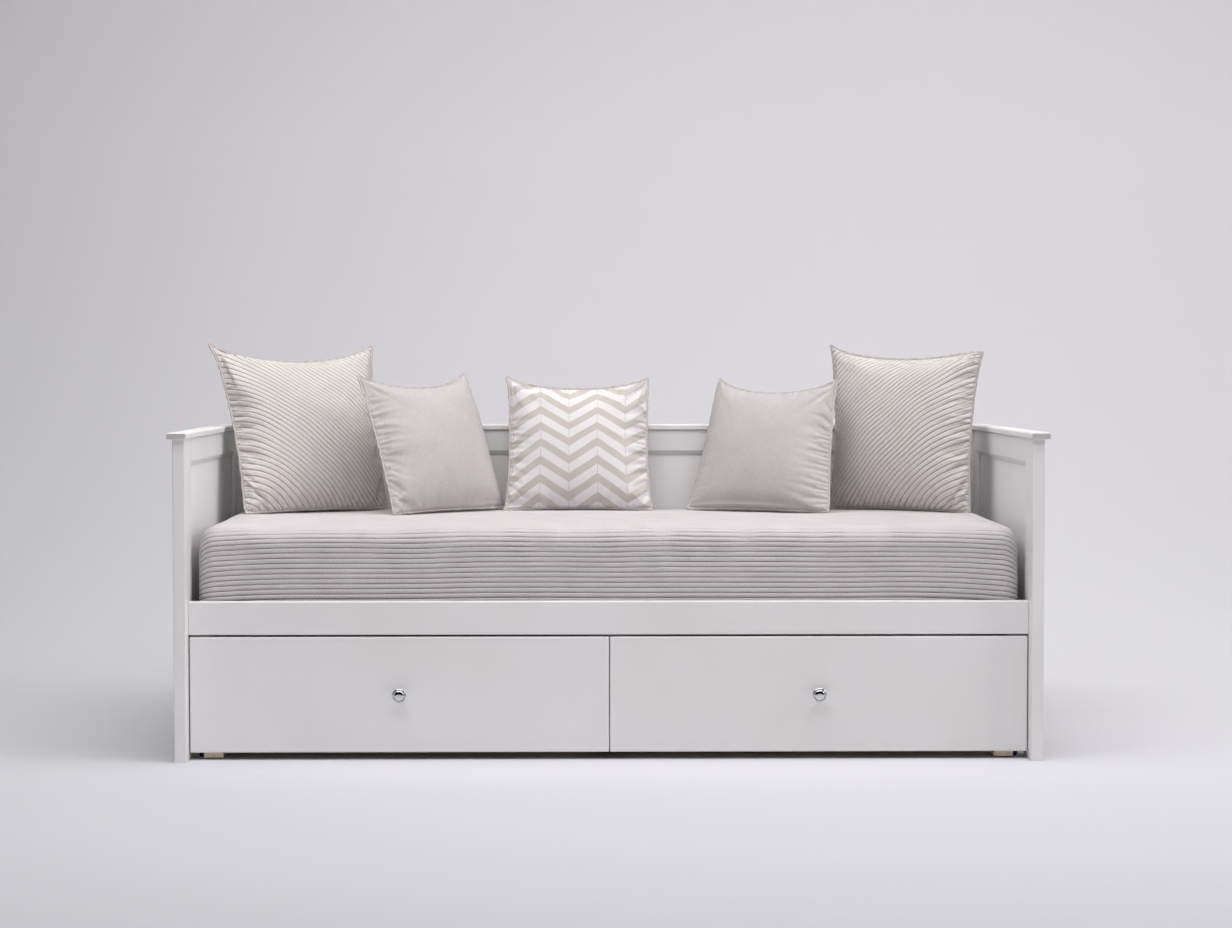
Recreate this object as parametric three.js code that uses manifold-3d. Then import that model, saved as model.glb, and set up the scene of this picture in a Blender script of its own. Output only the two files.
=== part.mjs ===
import * as THREE from "three";
import { mergeVertices } from "three/addons/utils/BufferGeometryUtils.js";
import Module from "manifold-3d";

const wasm = await Module();
wasm.setup();

// Storage daybed with two roll-out drawers. Millimetres, +Z up, the open front faces -Y.
// The origin is on the floor under the middle of the overall box.

// Driving dimensions
const panelTop = 768; // the panels' height under their caps
const railSetback = 41; // the front rail and the drawers stand this far behind the end panels' edges
const fitGap = 0.3; // between surfaces that fit into each other
const seatGap = 0.1; // between surfaces drawn tight by a screw
const arris = 1.5; // small chamfer on the timber's edges
const cutOverrun = 5; // how far a cutting solid runs past what it cuts
const weldReach = 1e-4; // corners nearer than this are one corner

// Frame and panel joinery of the two ends and the back
const joinery = {
  bevelRun: 11, // the bevel round a recessed panel, measured on the face
  bevelDepth: 6.5,
  infillThickness: 10,
  grooveDepth: 9,
  infillFloat: 1, // room for the infill to move at the bottom of its groove
  tenonShoulder: 10,
  tenonRoot: 4, // how far a tenon starts inside its rail's end
};
const endPanel = {
  thickness: 29,
  frontStileWidth: 100,
  rearStileWidth: 64,
  topRailHeight: 55,
  bottomRailHeight: 100,
  footHeight: 50, // the bottom rail's lower edge above the floor
};
const backPanel = {
  thickness: 28,
  stileWidth: 90,
  topRailHeight: 55,
  bottomRailHeight: 69,
  footHeight: 240, // the back panel's lower edge above the floor
};
const cap = { width: 48, thickness: 16, outerOverhang: 13, frontOverhang: 10, edge: 2 };

// Bed base
const frontRail = { thickness: 22, height: 80, footHeight: 300 };
const ledger = { width: 28, height: 20 };
const kicker = { width: 48, height: 26 };
const centreBearerWidth = 95;
const divider = { thickness: 22, setback: 230 };
const slats = { count: 14, width: 70, thickness: 12, cornerRadius: 8, endMargin: 30, endGap: 2 };
const tape = { width: 25, thickness: 1.2, inset: 190 };

// Drawers
const drawer = {
  endGap: 2.5, // between a drawer front and the end panel
  middleGap: 2, // between the two drawer fronts
  railGap: 5,
  footGap: 18, // under the drawer front
  frontThickness: 18,
  sideThickness: 15,
  sideInset: 33, // from the end panel, and from the middle, to the drawer's side
  floorGap: 40, // under the drawer's bottom
  kickerGap: 0.8, // the sides run just under the kickers, which keep an open drawer level
  backGap: 118, // behind the drawer's box, to the back panel
  bottomThickness: 8,
  rebate: 7,
};
const wheelBlock = { width: 46, length: 70, floorGap: 3, innerSetback: 122, rearInset: 20 };
const wheel = { radius: 18, width: 13, edge: 2.5, sideGap: 1.5, axleRadius: 4, axleLength: 20, sides: 20 };
const boreGap = 0.6; // between an axle and its bore
const knob = { headRadius: 17.5, neckRadius: 6.5, baseRadius: 10, height: 27.5, sides: 24 };
const screw = { radius: 1.9, headRadius: 4.5, headHeight: 2.6, reach: 9, endGap: 1, sides: 12 };

// Soft goods
const mattress = {
  length: 1980,
  depth: 800,
  height: 226,
  endClearance: 15, // to each end panel
  clearance: 7, // to the rail, and to the back panel
  topRadius: 45,
  footRadius: 14,
  crown: 5,
  channelPitch: 12.2,
  channelDepth: 2.5,
};

// The cushions as they stand on a bed of drawnLength. On another bed the whole set scales with
// its length. Their middles are placed from the bed's middle, its back panel and the mattress.
const cushionSet = { drawnLength: 2010 };
const leftLargeCushion = {
  width: 450,
  height: 455,
  thickness: 168,
  offCentre: -799,
  beforeBack: 150,
  aboveMattress: 215,
  turnDegrees: 33,
  tiltDegrees: 17.5,
  taperShare: -0.05,
};
const leftSmallCushion = {
  width: 402,
  height: 378,
  thickness: 128,
  offCentre: -460,
  beforeBack: 193,
  aboveMattress: 177,
  turnDegrees: 46.5,
  tiltDegrees: 20.5,
  taperShare: 0,
};
const centreCushion = {
  width: 388,
  height: 360,
  thickness: 128,
  offCentre: -75,
  beforeBack: 80,
  aboveMattress: 171,
  turnDegrees: 0,
  tiltDegrees: 14,
  taperShare: 0.016,
};
const rightSmallCushion = {
  width: 378,
  height: 368,
  thickness: 128,
  offCentre: 429,
  beforeBack: 135,
  aboveMattress: 169,
  turnDegrees: -26,
  tiltDegrees: 21,
  taperShare: 0.08,
};
const rightLargeCushion = {
  width: 450,
  height: 434,
  thickness: 168,
  offCentre: 788,
  beforeBack: 150,
  aboveMattress: 213,
  turnDegrees: -37.5,
  tiltDegrees: 4.2,
  taperShare: -0.03,
};
const plainForm = {
  drawSideShare: 0.06,
  drawTopShare: 0.12,
  drawFootShare: 0.03,
  crownPower: 0.55,
  fadeShare: 0.4,
  steps: 12,
};
const channelledForm = {
  drawSideShare: 0.07,
  drawTopShare: 0.12,
  drawFootShare: 0.03,
  crownPower: 0.58,
  fadeShare: 0.4,
  steps: 8,
  channels: 28,
  channelDepth: 4,
};

// Worked-out places
const bedLength = mattress.length + mattress.endClearance * 2; // clear length between the end panels
const halfBed = bedLength / 2;
const capInset = cap.width - cap.outerOverhang - endPanel.thickness;
const backCapOverhang = cap.width - capInset - backPanel.thickness;
const railBack = railSetback + frontRail.thickness;
const backFace = railBack + mattress.depth + mattress.clearance + mattress.clearance;
const panelDepth = backFace + backPanel.thickness;
const overallDepth = cap.frontOverhang + panelDepth + backCapOverhang;
const frontEdge = cap.frontOverhang - overallDepth / 2; // the end panels' front edges
const slatTop = frontRail.footHeight + ledger.height + slats.thickness;
const mattressTop = slatTop + fitGap + mattress.height;
const kickerFoot = frontRail.footHeight - kicker.height;
const boxDepth = backFace - drawer.backGap - railSetback - drawer.frontThickness;

const colours = {
  paint: 0xe4e1de,
  pine: 0xcfae84,
  plywood: 0xd6bf9a,
  chrome: 0xc9cbce,
  steel: 0x9a9c9f,
  wheel: 0x2b2a2a,
  coverlet: 0xd8d3d6,
  quiltedLinen: 0xcdc6c4,
  plainLinen: 0xd0cac8,
  chevron: 0xcfc4ba,
};

function finish(colour, roughness, metalness = 0) {
  return new THREE.MeshStandardMaterial({ color: colour, roughness, metalness });
}
const painted = () => finish(colours.paint, 0.45);
const pine = () => finish(colours.pine, 0.7);
const plywood = () => finish(colours.plywood, 0.6);
const chrome = () => finish(colours.chrome, 0.12, 1);
const steel = () => finish(colours.steel, 0.35, 1);
const wheelPlastic = () => finish(colours.wheel, 0.5);
const cloth = (colour) => finish(colour, 0.95);

const daybed = new THREE.Group();

function addMesh(parent, name, geometry, material, x = 0, y = 0, z = 0) {
  const mesh = new THREE.Mesh(geometry, material);
  mesh.name = name;
  mesh.position.set(x, y, z);
  parent.add(mesh);
  return mesh;
}

// Solid cutting and joining
function toSolid(geometry) {
  const plain = geometry.clone();
  plain.deleteAttribute("normal");
  plain.deleteAttribute("uv");
  const merged = mergeVertices(plain, weldReach);
  const index = Array.from(merged.index.array);
  const faces = [];
  for (let i = 0; i < index.length; i += 3) {
    const [a, b, c] = index.slice(i, i + 3);
    if (a !== b && b !== c && c !== a) faces.push(a, b, c);
  }
  return new wasm.Manifold(
    new wasm.Mesh({
      numProp: 3,
      vertProperties: new Float32Array(merged.attributes.position.array),
      triVerts: new Uint32Array(faces),
    }),
  );
}

function toGeometry(solid) {
  const mesh = solid.getMesh();
  const geometry = new THREE.BufferGeometry();
  geometry.setAttribute("position", new THREE.BufferAttribute(mesh.vertProperties, 3));
  geometry.setIndex(new THREE.BufferAttribute(mesh.triVerts, 1));
  return geometry;
}

// Prisms: a closed outline of [a, b] points pushed along X, Y or Z
function prism(points, length, axis) {
  const shape = new THREE.Shape(points.map(([a, b]) => new THREE.Vector2(a, b)));
  const geometry = new THREE.ExtrudeGeometry(shape, { depth: length, bevelEnabled: false });
  return turnAlong(geometry, length, axis);
}

// along X the outline's a runs along Y and its b along Z; along Y they run along X and Z
function turnAlong(geometry, length, axis) {
  const x = new THREE.Vector3(1, 0, 0);
  const y = new THREE.Vector3(0, 1, 0);
  const z = new THREE.Vector3(0, 0, 1);
  const turn = new THREE.Matrix4();
  if (axis === "x") turn.makeBasis(y, z, x);
  if (axis === "y") turn.makeBasis(x, z, y.negate()).setPosition(0, length, 0);
  return geometry.applyMatrix4(turn);
}

// A planed board with a small chamfer on every edge, its lowest corner at its own origin
function board(sizeX, sizeY, sizeZ, axis, chamfer = arris) {
  const along = { x: sizeX, y: sizeY, z: sizeZ }[axis];
  const width = axis === "x" ? sizeY : sizeX;
  const height = axis === "z" ? sizeY : sizeZ;
  const far = [width - chamfer, height - chamfer];
  const shape = new THREE.Shape();
  shape.moveTo(chamfer + chamfer, chamfer);
  shape.lineTo(far[0] - chamfer, chamfer);
  shape.lineTo(far[0], chamfer + chamfer);
  shape.lineTo(far[0], far[1] - chamfer);
  shape.lineTo(far[0] - chamfer, far[1]);
  shape.lineTo(chamfer + chamfer, far[1]);
  shape.lineTo(chamfer, far[1] - chamfer);
  shape.lineTo(chamfer, chamfer + chamfer);
  const geometry = new THREE.ExtrudeGeometry(shape, {
    depth: along - chamfer - chamfer,
    bevelThickness: chamfer,
    bevelSize: chamfer,
    bevelSegments: 1,
  });
  return turnAlong(geometry.translate(0, 0, chamfer), along, axis);
}

function addBoard(parent, name, material, xs, ys, zs, axis, chamfer = arris) {
  const geometry = board(xs[1] - xs[0], ys[1] - ys[0], zs[1] - zs[0], axis, chamfer);
  return addMesh(parent, name, geometry, material, xs[0], ys[0], zs[0]);
}

function block(xs, ys, zs) {
  const geometry = new THREE.BoxGeometry(xs[1] - xs[0], ys[1] - ys[0], zs[1] - zs[0]);
  return geometry.translate((xs[0] + xs[1]) / 2, (ys[0] + ys[1]) / 2, (zs[0] + zs[1]) / 2);
}

// Section of a frame member: face to face across a, from its outer edge at b = 0 to the
// bevelled and grooved inner edge at b = faceWidth + bevelRun.
function memberSection(thickness, faceWidth, grooved) {
  const half = thickness / 2;
  const core = half - joinery.bevelDepth;
  const groove = joinery.infillThickness / 2 + fitGap;
  const inner = faceWidth + joinery.bevelRun;
  const right = [
    [half - arris, 0],
    [half, arris],
    [half, faceWidth],
    [core, inner],
  ];
  if (grooved) right.push([groove, inner], [groove, inner - joinery.grooveDepth]);
  const left = right.map(([a, b]) => [-a, b]).reverse();
  return [...right, ...left];
}

// A framed panel in its own frame: the width runs along X, the thickness is centred on Y = 0.
// size: thickness, width, lowStile, highStile, topRail, bottomRail, foot, railFoot
function framedPanel(parent, prefix, size) {
  const { thickness, width, lowStile, highStile, topRail, bottomRail, foot, railFoot } = size;
  const lowSection = memberSection(thickness, lowStile, true).map(([a, b]) => [b, -a]);
  const highSection = memberSection(thickness, highStile, true).map(([a, b]) => [width - b, a]);
  const stileLength = panelTop - foot;
  addMesh(parent, size.lowName, prism(lowSection, stileLength, "z"), painted(), 0, 0, foot);
  addMesh(parent, size.highName, prism(highSection, stileLength, "z"), painted(), 0, 0, foot);

  // the rails' ends are coped over the stiles' bevels, with a stub tenon in the groove
  const copeHeight = panelTop + cutOverrun;
  const lowCope = memberSection(thickness, lowStile, false).map(([a, b]) => [b + fitGap, -a]);
  const highCope = memberSection(thickness, highStile, false).map(([a, b]) => [width - b - fitGap, a]);
  const lowCutter = toSolid(prism(lowCope, copeHeight, "z"));
  const highCutter = toSolid(prism(highCope, copeHeight, "z"));
  const lowInner = lowStile + joinery.bevelRun;
  const highInner = width - highStile - joinery.bevelRun;
  const tenonReach = joinery.grooveDepth - joinery.infillFloat;
  const halfTenon = joinery.infillThickness / 2;

  function rail(name, faceHeight, outerEdge, inward) {
    const section = memberSection(thickness, faceHeight, true).map(([a, b]) => [
      inward * a,
      outerEdge + inward * b,
    ]);
    const length = highInner - lowInner + joinery.bevelRun + joinery.bevelRun;
    const blank = prism(section, length, "x").translate(lowStile, 0, 0);
    const tenonFrom = outerEdge + inward * joinery.tenonShoulder;
    const tenonTo = outerEdge + inward * (faceHeight - joinery.tenonRoot);
    const heights = [Math.min(tenonFrom, tenonTo), Math.max(tenonFrom, tenonTo)];
    const thick = [-halfTenon, halfTenon];
    const lowTenon = block([lowInner - tenonReach, lowInner + joinery.tenonRoot], thick, heights);
    const highTenon = block([highInner - joinery.tenonRoot, highInner + tenonReach], thick, heights);
    const solid = toSolid(blank)
      .subtract(lowCutter)
      .subtract(highCutter)
      .add(toSolid(lowTenon))
      .add(toSolid(highTenon));
    addMesh(parent, name, toGeometry(solid), painted());
  }
  rail(`${prefix}_top_rail`, topRail, panelTop, -1);
  rail(`${prefix}_bottom_rail`, bottomRail, railFoot, 1);

  const infillFoot = railFoot + bottomRail + joinery.bevelRun - tenonReach;
  const infillTop = panelTop - topRail - joinery.bevelRun + tenonReach;
  const infill = block(
    [lowInner - tenonReach, highInner + tenonReach],
    [-halfTenon, halfTenon],
    [infillFoot, infillTop],
  );
  addMesh(parent, `${prefix}_infill`, infill, painted());
}

function buildEnd(side, sign) {
  const end = new THREE.Group();
  end.position.set(sign * (halfBed + endPanel.thickness / 2), frontEdge, 0);
  end.rotation.z = Math.PI / 2;
  framedPanel(end, `${side}_end`, {
    thickness: endPanel.thickness,
    width: panelDepth,
    lowStile: endPanel.frontStileWidth,
    highStile: endPanel.rearStileWidth,
    topRail: endPanel.topRailHeight,
    bottomRail: endPanel.bottomRailHeight,
    foot: 0,
    railFoot: endPanel.footHeight,
    lowName: `${side}_front_stile`,
    highName: `${side}_rear_stile`,
  });
  daybed.add(end);
  const inner = sign * (halfBed - capInset);
  const outer = sign * (halfBed + endPanel.thickness + cap.outerOverhang);
  addBoard(
    daybed,
    `${side}_end_cap`,
    painted(),
    [Math.min(inner, outer), Math.max(inner, outer)],
    [frontEdge - cap.frontOverhang, frontEdge + panelDepth + backCapOverhang],
    [panelTop, panelTop + cap.thickness],
    "y",
    cap.edge,
  );
}

function buildBack() {
  const back = new THREE.Group();
  back.position.set(-halfBed, frontEdge + backFace + backPanel.thickness / 2, 0);
  framedPanel(back, "back", {
    thickness: backPanel.thickness,
    width: bedLength,
    lowStile: backPanel.stileWidth,
    highStile: backPanel.stileWidth,
    topRail: backPanel.topRailHeight,
    bottomRail: backPanel.bottomRailHeight,
    foot: backPanel.footHeight,
    railFoot: backPanel.footHeight,
    lowName: "back_left_stile",
    highName: "back_right_stile",
  });
  daybed.add(back);
  const reach = halfBed - capInset;
  addBoard(
    daybed,
    "back_cap",
    painted(),
    [-reach, reach],
    [frontEdge + backFace - capInset, frontEdge + panelDepth + backCapOverhang],
    [panelTop, panelTop + cap.thickness],
    "x",
    cap.edge,
  );
}

// Bed base: rail, ledgers, kickers over the drawers' sides, centre bearer and its divider
function buildBase() {
  const whole = [-halfBed, halfBed];
  const behindRail = frontEdge + railBack;
  const beforeBack = frontEdge + backFace;
  const railHeights = [frontRail.footHeight, frontRail.footHeight + frontRail.height];
  addBoard(daybed, "front_rail", painted(), whole, [frontEdge + railSetback, behindRail], railHeights, "x");

  const ledgerHeights = [frontRail.footHeight, frontRail.footHeight + ledger.height];
  const frontLedgerRun = [behindRail, behindRail + ledger.width];
  const rearLedgerRun = [beforeBack - ledger.width, beforeBack];
  addBoard(daybed, "front_ledger", pine(), whole, frontLedgerRun, ledgerHeights, "x");
  addBoard(daybed, "rear_ledger", pine(), whole, rearLedgerRun, ledgerHeights, "x");

  const frontToBack = [behindRail, beforeBack];
  const kickerHeights = [kickerFoot, frontRail.footHeight];
  const leftKicker = [-halfBed, kicker.width - halfBed];
  const rightKicker = [halfBed - kicker.width, halfBed];
  addBoard(daybed, "left_drawer_kicker", pine(), leftKicker, frontToBack, kickerHeights, "y");
  addBoard(daybed, "right_drawer_kicker", pine(), rightKicker, frontToBack, kickerHeights, "y");
  const bearer = [-centreBearerWidth / 2, centreBearerWidth / 2];
  addBoard(daybed, "centre_bearer", pine(), bearer, frontToBack, kickerHeights, "y");
  addBoard(
    daybed,
    "centre_divider",
    pine(),
    [-divider.thickness / 2, divider.thickness / 2],
    [frontEdge + divider.setback, beforeBack],
    [0, kickerFoot],
    "y",
  );
}

// Slatted base: round-cornered slats held at an even pitch by two tapes under them
function slatOutline(width, length, radius) {
  const shape = new THREE.Shape();
  shape.moveTo(radius, 0);
  shape.lineTo(width - radius, 0);
  shape.absarc(width - radius, radius, radius, -Math.PI / 2, 0);
  shape.lineTo(width, length - radius);
  shape.absarc(width - radius, length - radius, radius, 0, Math.PI / 2);
  shape.lineTo(radius, length);
  shape.absarc(radius, length - radius, radius, Math.PI / 2, Math.PI);
  shape.lineTo(0, radius);
  shape.absarc(radius, radius, radius, Math.PI, Math.PI * 1.5);
  return shape;
}

function buildSlats() {
  const length = backFace - railBack - slats.endGap - slats.endGap;
  const first = slats.endMargin - halfBed;
  const pitch = (bedLength - slats.endMargin - slats.endMargin - slats.width) / (slats.count - 1);
  const outline = slatOutline(slats.width, length, slats.cornerRadius);
  const slat = new THREE.ExtrudeGeometry(outline, {
    depth: slats.thickness,
    bevelEnabled: false,
    curveSegments: 2,
  });
  const tapeHeights = [-tape.thickness, 0];
  const tapeRun = [first, first + pitch * (slats.count - 1) + slats.width];
  const frontTape = [tape.inset, tape.inset + tape.width];
  const rearTape = [length - tape.inset - tape.width, length - tape.inset];
  const rearTapeSolid = toSolid(block(tapeRun, rearTape, tapeHeights));
  let roll = toSolid(block(tapeRun, frontTape, tapeHeights)).add(rearTapeSolid);
  for (let i = 0; i < slats.count; i += 1) {
    roll = roll.add(toSolid(slat.clone().translate(first + pitch * i, 0, 0)));
  }
  const y = frontEdge + railBack + slats.endGap;
  addMesh(daybed, "slat_roll", toGeometry(roll), pine(), 0, y, slatTop - slats.thickness);
}

// Turned pieces: a profile of [radius, height] points that starts and ends on the axis
function turned(profile, sides) {
  return new THREE.LatheGeometry(
    profile.map(([radius, height]) => new THREE.Vector2(radius, height)),
    sides,
  );
}

function wheelGeometry() {
  const { radius, width, edge, sideGap, axleRadius, axleLength, sides } = wheel;
  const inner = axleLength + sideGap;
  return turned(
    [
      [0, 0],
      [axleRadius, 0],
      [axleRadius, inner],
      [radius - edge, inner],
      [radius, inner + edge],
      [radius, inner + width - edge],
      [radius - edge, inner + width],
      [0, inner + width],
    ],
    sides,
  );
}

function axleCutter(length) {
  const cutter = new THREE.CylinderGeometry(
    wheel.axleRadius + boreGap,
    wheel.axleRadius + boreGap,
    length,
    wheel.sides,
  );
  return cutter.rotateZ(Math.PI / 2);
}

// A wheel with its stub axle: towards is +1 where the wheel stands on the +X side of its block
function addWheel(parent, name, face, y, towards) {
  const mesh = addMesh(parent, name, wheelGeometry(), wheelPlastic());
  mesh.rotation.z = (-towards * Math.PI) / 2;
  mesh.position.set(face - towards * wheel.axleLength, y, wheel.radius);
}

function boredBlock(xs, ys, zs, bores) {
  let solid = toSolid(block(xs, ys, zs));
  const depth = wheel.axleLength + cutOverrun;
  for (const { face, y, towards } of bores) {
    const centre = face - (towards * (depth - cutOverrun - cutOverrun)) / 2;
    const cutter = axleCutter(depth + cutOverrun + fitGap).translate(centre, y, wheel.radius);
    solid = solid.subtract(toSolid(cutter));
  }
  return toGeometry(solid);
}

// The knob's outline above its foot, as shares of the radius named and of the whole height
const knobShares = [
  ["baseRadius", 1, 0],
  ["baseRadius", 1, 0.08],
  ["neckRadius", 1, 0.2],
  ["neckRadius", 1, 0.48],
  ["headRadius", 0.84, 0.64],
  ["headRadius", 1, 0.76],
  ["headRadius", 0.97, 0.86],
  ["headRadius", 0.68, 0.96],
  ["headRadius", 0, 1],
];
const knobBore = { radius: screw.radius + fitGap, depth: screw.reach + screw.endGap };
const knobProfile = [
  [0, knobBore.depth],
  [knobBore.radius, knobBore.depth],
  [knobBore.radius, 0],
  ...knobShares.map(([radius, radiusShare, heightShare]) => [
    knob[radius] * radiusShare,
    knob.height * heightShare,
  ]),
];

// A drawer. Distances a and b count from the end panel's inner face towards the middle, and
// place turns them into the lower and the higher X; sign is -1 for the left drawer.
function buildDrawer(side, sign) {
  const group = new THREE.Group();
  const prefix = `${side}_drawer`;
  const place = (a, b) => [sign * (halfBed - a), sign * (halfBed - b)].sort((p, q) => p - q);
  const frontWidth = halfBed - drawer.endGap - drawer.middleGap / 2;
  const frontFace = frontEdge + railSetback;
  const boxFront = frontFace + drawer.frontThickness;
  const boxBack = boxFront + boxDepth;
  const frontTop = frontRail.footHeight - drawer.railGap;
  const outerSide = [drawer.sideInset, drawer.sideInset + drawer.sideThickness];
  const middleSide = [halfBed - drawer.sideInset - drawer.sideThickness, halfBed - drawer.sideInset];
  const boxTop = kickerFoot - drawer.kickerGap;
  const boxHeight = boxTop - drawer.floorGap;
  const bottomTop = drawer.floorGap + drawer.bottomThickness;

  const frontXs = place(drawer.endGap, drawer.endGap + frontWidth);
  const knobX = (frontXs[0] + frontXs[1]) / 2;
  const knobZ = (drawer.footGap + frontTop) / 2;
  const slab = board(frontWidth, drawer.frontThickness, frontTop - drawer.footGap, "x");
  const borehole = new THREE.CylinderGeometry(
    screw.radius + boreGap,
    screw.radius + boreGap,
    drawer.frontThickness + cutOverrun,
    screw.sides,
  );
  borehole.translate(frontWidth / 2, drawer.frontThickness / 2, knobZ - drawer.footGap);
  const frontSolid = toSolid(slab).subtract(toSolid(borehole));
  const frontShape = toGeometry(frontSolid);
  addMesh(group, `${prefix}_front`, frontShape, painted(), frontXs[0], frontFace, drawer.footGap);

  // the sides have a rebate along the foot that takes the bottom
  for (const [name, range, inward] of [
    ["outer_side", outerSide, -sign],
    ["middle_side", middleSide, sign],
  ]) {
    const low = place(...range)[0];
    const section = [
      [0, drawer.bottomThickness],
      [drawer.rebate, drawer.bottomThickness],
      [drawer.rebate, 0],
      [drawer.sideThickness, 0],
      [drawer.sideThickness, boxHeight],
      [0, boxHeight],
    ];
    const mirrored = section.map(([a, b]) => [drawer.sideThickness - a, b]).reverse();
    const geometry = prism(inward < 0 ? section : mirrored, boxDepth, "y");
    addMesh(group, `${prefix}_${name}`, geometry, plywood(), low, boxFront, drawer.floorGap);
  }

  const between = place(outerSide[1], middleSide[0]);
  addBoard(
    group,
    `${prefix}_back`,
    plywood(),
    between,
    [boxBack - drawer.sideThickness, boxBack],
    [bottomTop, boxTop],
    "x",
  );
  const bottomReach = drawer.rebate - fitGap;
  const bottomXs = [between[0] - bottomReach, between[1] + bottomReach];
  const bottom = block(bottomXs, [boxFront, boxBack], [drawer.floorGap, bottomTop]);
  addMesh(group, `${prefix}_bottom`, bottom, plywood());

  // turned chromed knob and the screw that holds it through the front
  const knobMesh = addMesh(group, `${prefix}_knob`, turned(knobProfile, knob.sides), chrome());
  knobMesh.rotation.x = Math.PI;
  knobMesh.position.set(knobX, frontFace - seatGap, knobZ);
  const screwBack = drawer.frontThickness + seatGap;
  const screwProfile = [
    [0, -screwBack - screw.headHeight],
    [screw.headRadius, -screwBack - screw.headHeight],
    [screw.headRadius, -screwBack],
    [screw.radius, -screwBack],
    [screw.radius, screw.reach],
    [0, screw.reach],
  ];
  const screwMesh = addMesh(group, `${prefix}_knob_screw`, turned(screwProfile, screw.sides), steel());
  screwMesh.rotation.x = Math.PI;
  screwMesh.position.set(knobX, frontFace, knobZ);

  // wheel blocks under the box, each wheel on its block's outer or middle face
  const blockZs = [wheelBlock.floorGap, drawer.floorGap];
  const outerFace = sign * (halfBed - drawer.sideInset);
  const middleFace = sign * drawer.sideInset;
  const outerYs = [boxFront, boxFront + wheelBlock.length];
  const middleFront = boxFront + wheelBlock.innerSetback;
  const middleYs = [middleFront, middleFront + wheelBlock.length];
  const rearYs = [boxBack - wheelBlock.rearInset - wheelBlock.length, boxBack - wheelBlock.rearInset];
  const mid = ([a, b]) => (a + b) / 2;
  const corners = {
    front_outer: { face: outerFace, y: mid(outerYs), towards: sign },
    front_middle: { face: middleFace, y: mid(middleYs), towards: -sign },
    rear_outer: { face: outerFace, y: mid(rearYs), towards: sign },
    rear_middle: { face: middleFace, y: mid(rearYs), towards: -sign },
  };
  const outerXs = place(drawer.sideInset, drawer.sideInset + wheelBlock.width);
  const middleXs = place(halfBed - drawer.sideInset - wheelBlock.width, halfBed - drawer.sideInset);
  const rearXs = place(drawer.sideInset, halfBed - drawer.sideInset);
  const blocks = {
    front_outer_block: boredBlock(outerXs, outerYs, blockZs, [corners.front_outer]),
    front_middle_block: boredBlock(middleXs, middleYs, blockZs, [corners.front_middle]),
    rear_batten: boredBlock(rearXs, rearYs, blockZs, [corners.rear_outer, corners.rear_middle]),
  };
  for (const [name, geometry] of Object.entries(blocks)) {
    addMesh(group, `${prefix}_${name}`, geometry, pine());
  }
  for (const [name, corner] of Object.entries(corners)) {
    addWheel(group, `${prefix}_${name}_wheel`, corner.face, corner.y, corner.towards);
  }
  daybed.add(group);
}

// Closed skin over rings of points that all have the same count, ends closed to their centres
function loft(rings) {
  const count = rings[0].length;
  const points = rings.flat();
  const faces = [];
  for (let r = 0; r + 1 < rings.length; r += 1) {
    for (let i = 0; i < count; i += 1) {
      const a = r * count + i;
      const b = r * count + ((i + 1) % count);
      faces.push(a, b, b + count, a, b + count, a + count);
    }
  }
  const addCap = (ring, start, flip) => {
    const centre = new THREE.Vector3();
    ring.forEach((point) => centre.add(point));
    points.push(centre.divideScalar(count));
    for (let i = 0; i < count; i += 1) {
      const a = start + i;
      const b = start + ((i + 1) % count);
      faces.push(points.length - 1, flip ? a : b, flip ? b : a);
    }
  };
  addCap(rings[0], 0, false);
  addCap(rings.at(-1), (rings.length - 1) * count, true);
  const geometry = new THREE.BufferGeometry().setFromPoints(points);
  geometry.setIndex(faces);
  return geometry;
}

// Half of the mattress section from the middle of its foot, up the side and to the crown's
// middle, as [y, z]. Sewn channels run along the side and over its top edge.
function mattressSide() {
  const { depth, height, topRadius, footRadius, channelPitch, channelDepth, crown } = mattress;
  const half = depth / 2;
  const edgeHeight = height - crown;
  const straight = edgeHeight - topRadius - footRadius;
  const wrap = (topRadius * Math.PI) / 2;
  const channels = Math.round((straight + wrap) / channelPitch);
  const points = [[half - footRadius, 0]];
  for (let i = 0; i <= channels * 2; i += 1) {
    const run = ((straight + wrap) * i) / (channels * 2);
    const dip = i % 2 === 0 ? channelDepth : 0;
    if (run <= straight) {
      points.push([half - dip, footRadius + run]);
      continue;
    }
    const angle = (run - straight) / topRadius;
    const radius = topRadius - dip;
    const centreZ = footRadius + straight;
    points.push([half - topRadius + radius * Math.cos(angle), centreZ + radius * Math.sin(angle)]);
  }
  const crownShares = [0.75, 0.5, 0.25];
  for (const share of crownShares) {
    const y = (half - topRadius) * share;
    points.push([y, edgeHeight + crown * (1 - share * share)]);
  }
  return points;
}

function buildMattress() {
  const right = mattressSide();
  const top = [0, mattress.height];
  const left = right.map(([y, z]) => [-y, z]).reverse();
  const section = [...right, top, ...left];
  const { length, depth, height, topRadius } = mattress;
  const endAngles = [0, 30, 60, 90];
  const stations = endAngles.map((degrees) => {
    const angle = THREE.MathUtils.degToRad(degrees);
    const reach = length / 2 - topRadius;
    return { x: reach + topRadius * Math.cos(angle), inset: topRadius * (1 - Math.sin(angle)) };
  });
  const ring = (x, inset) =>
    section.map(([y, z]) => new THREE.Vector3(x, y * (1 - (inset * 2) / depth), z * (1 - inset / height)));
  const rings = [
    ...stations.map(({ x, inset }) => ring(-x, inset)),
    ...stations.reverse().map(({ x, inset }) => ring(x, inset)),
  ];
  const y = frontEdge + railBack + mattress.clearance + depth / 2;
  addMesh(daybed, "mattress", loft(rings), cloth(colours.coverlet), 0, y, slatTop + fitGap);
}

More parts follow.
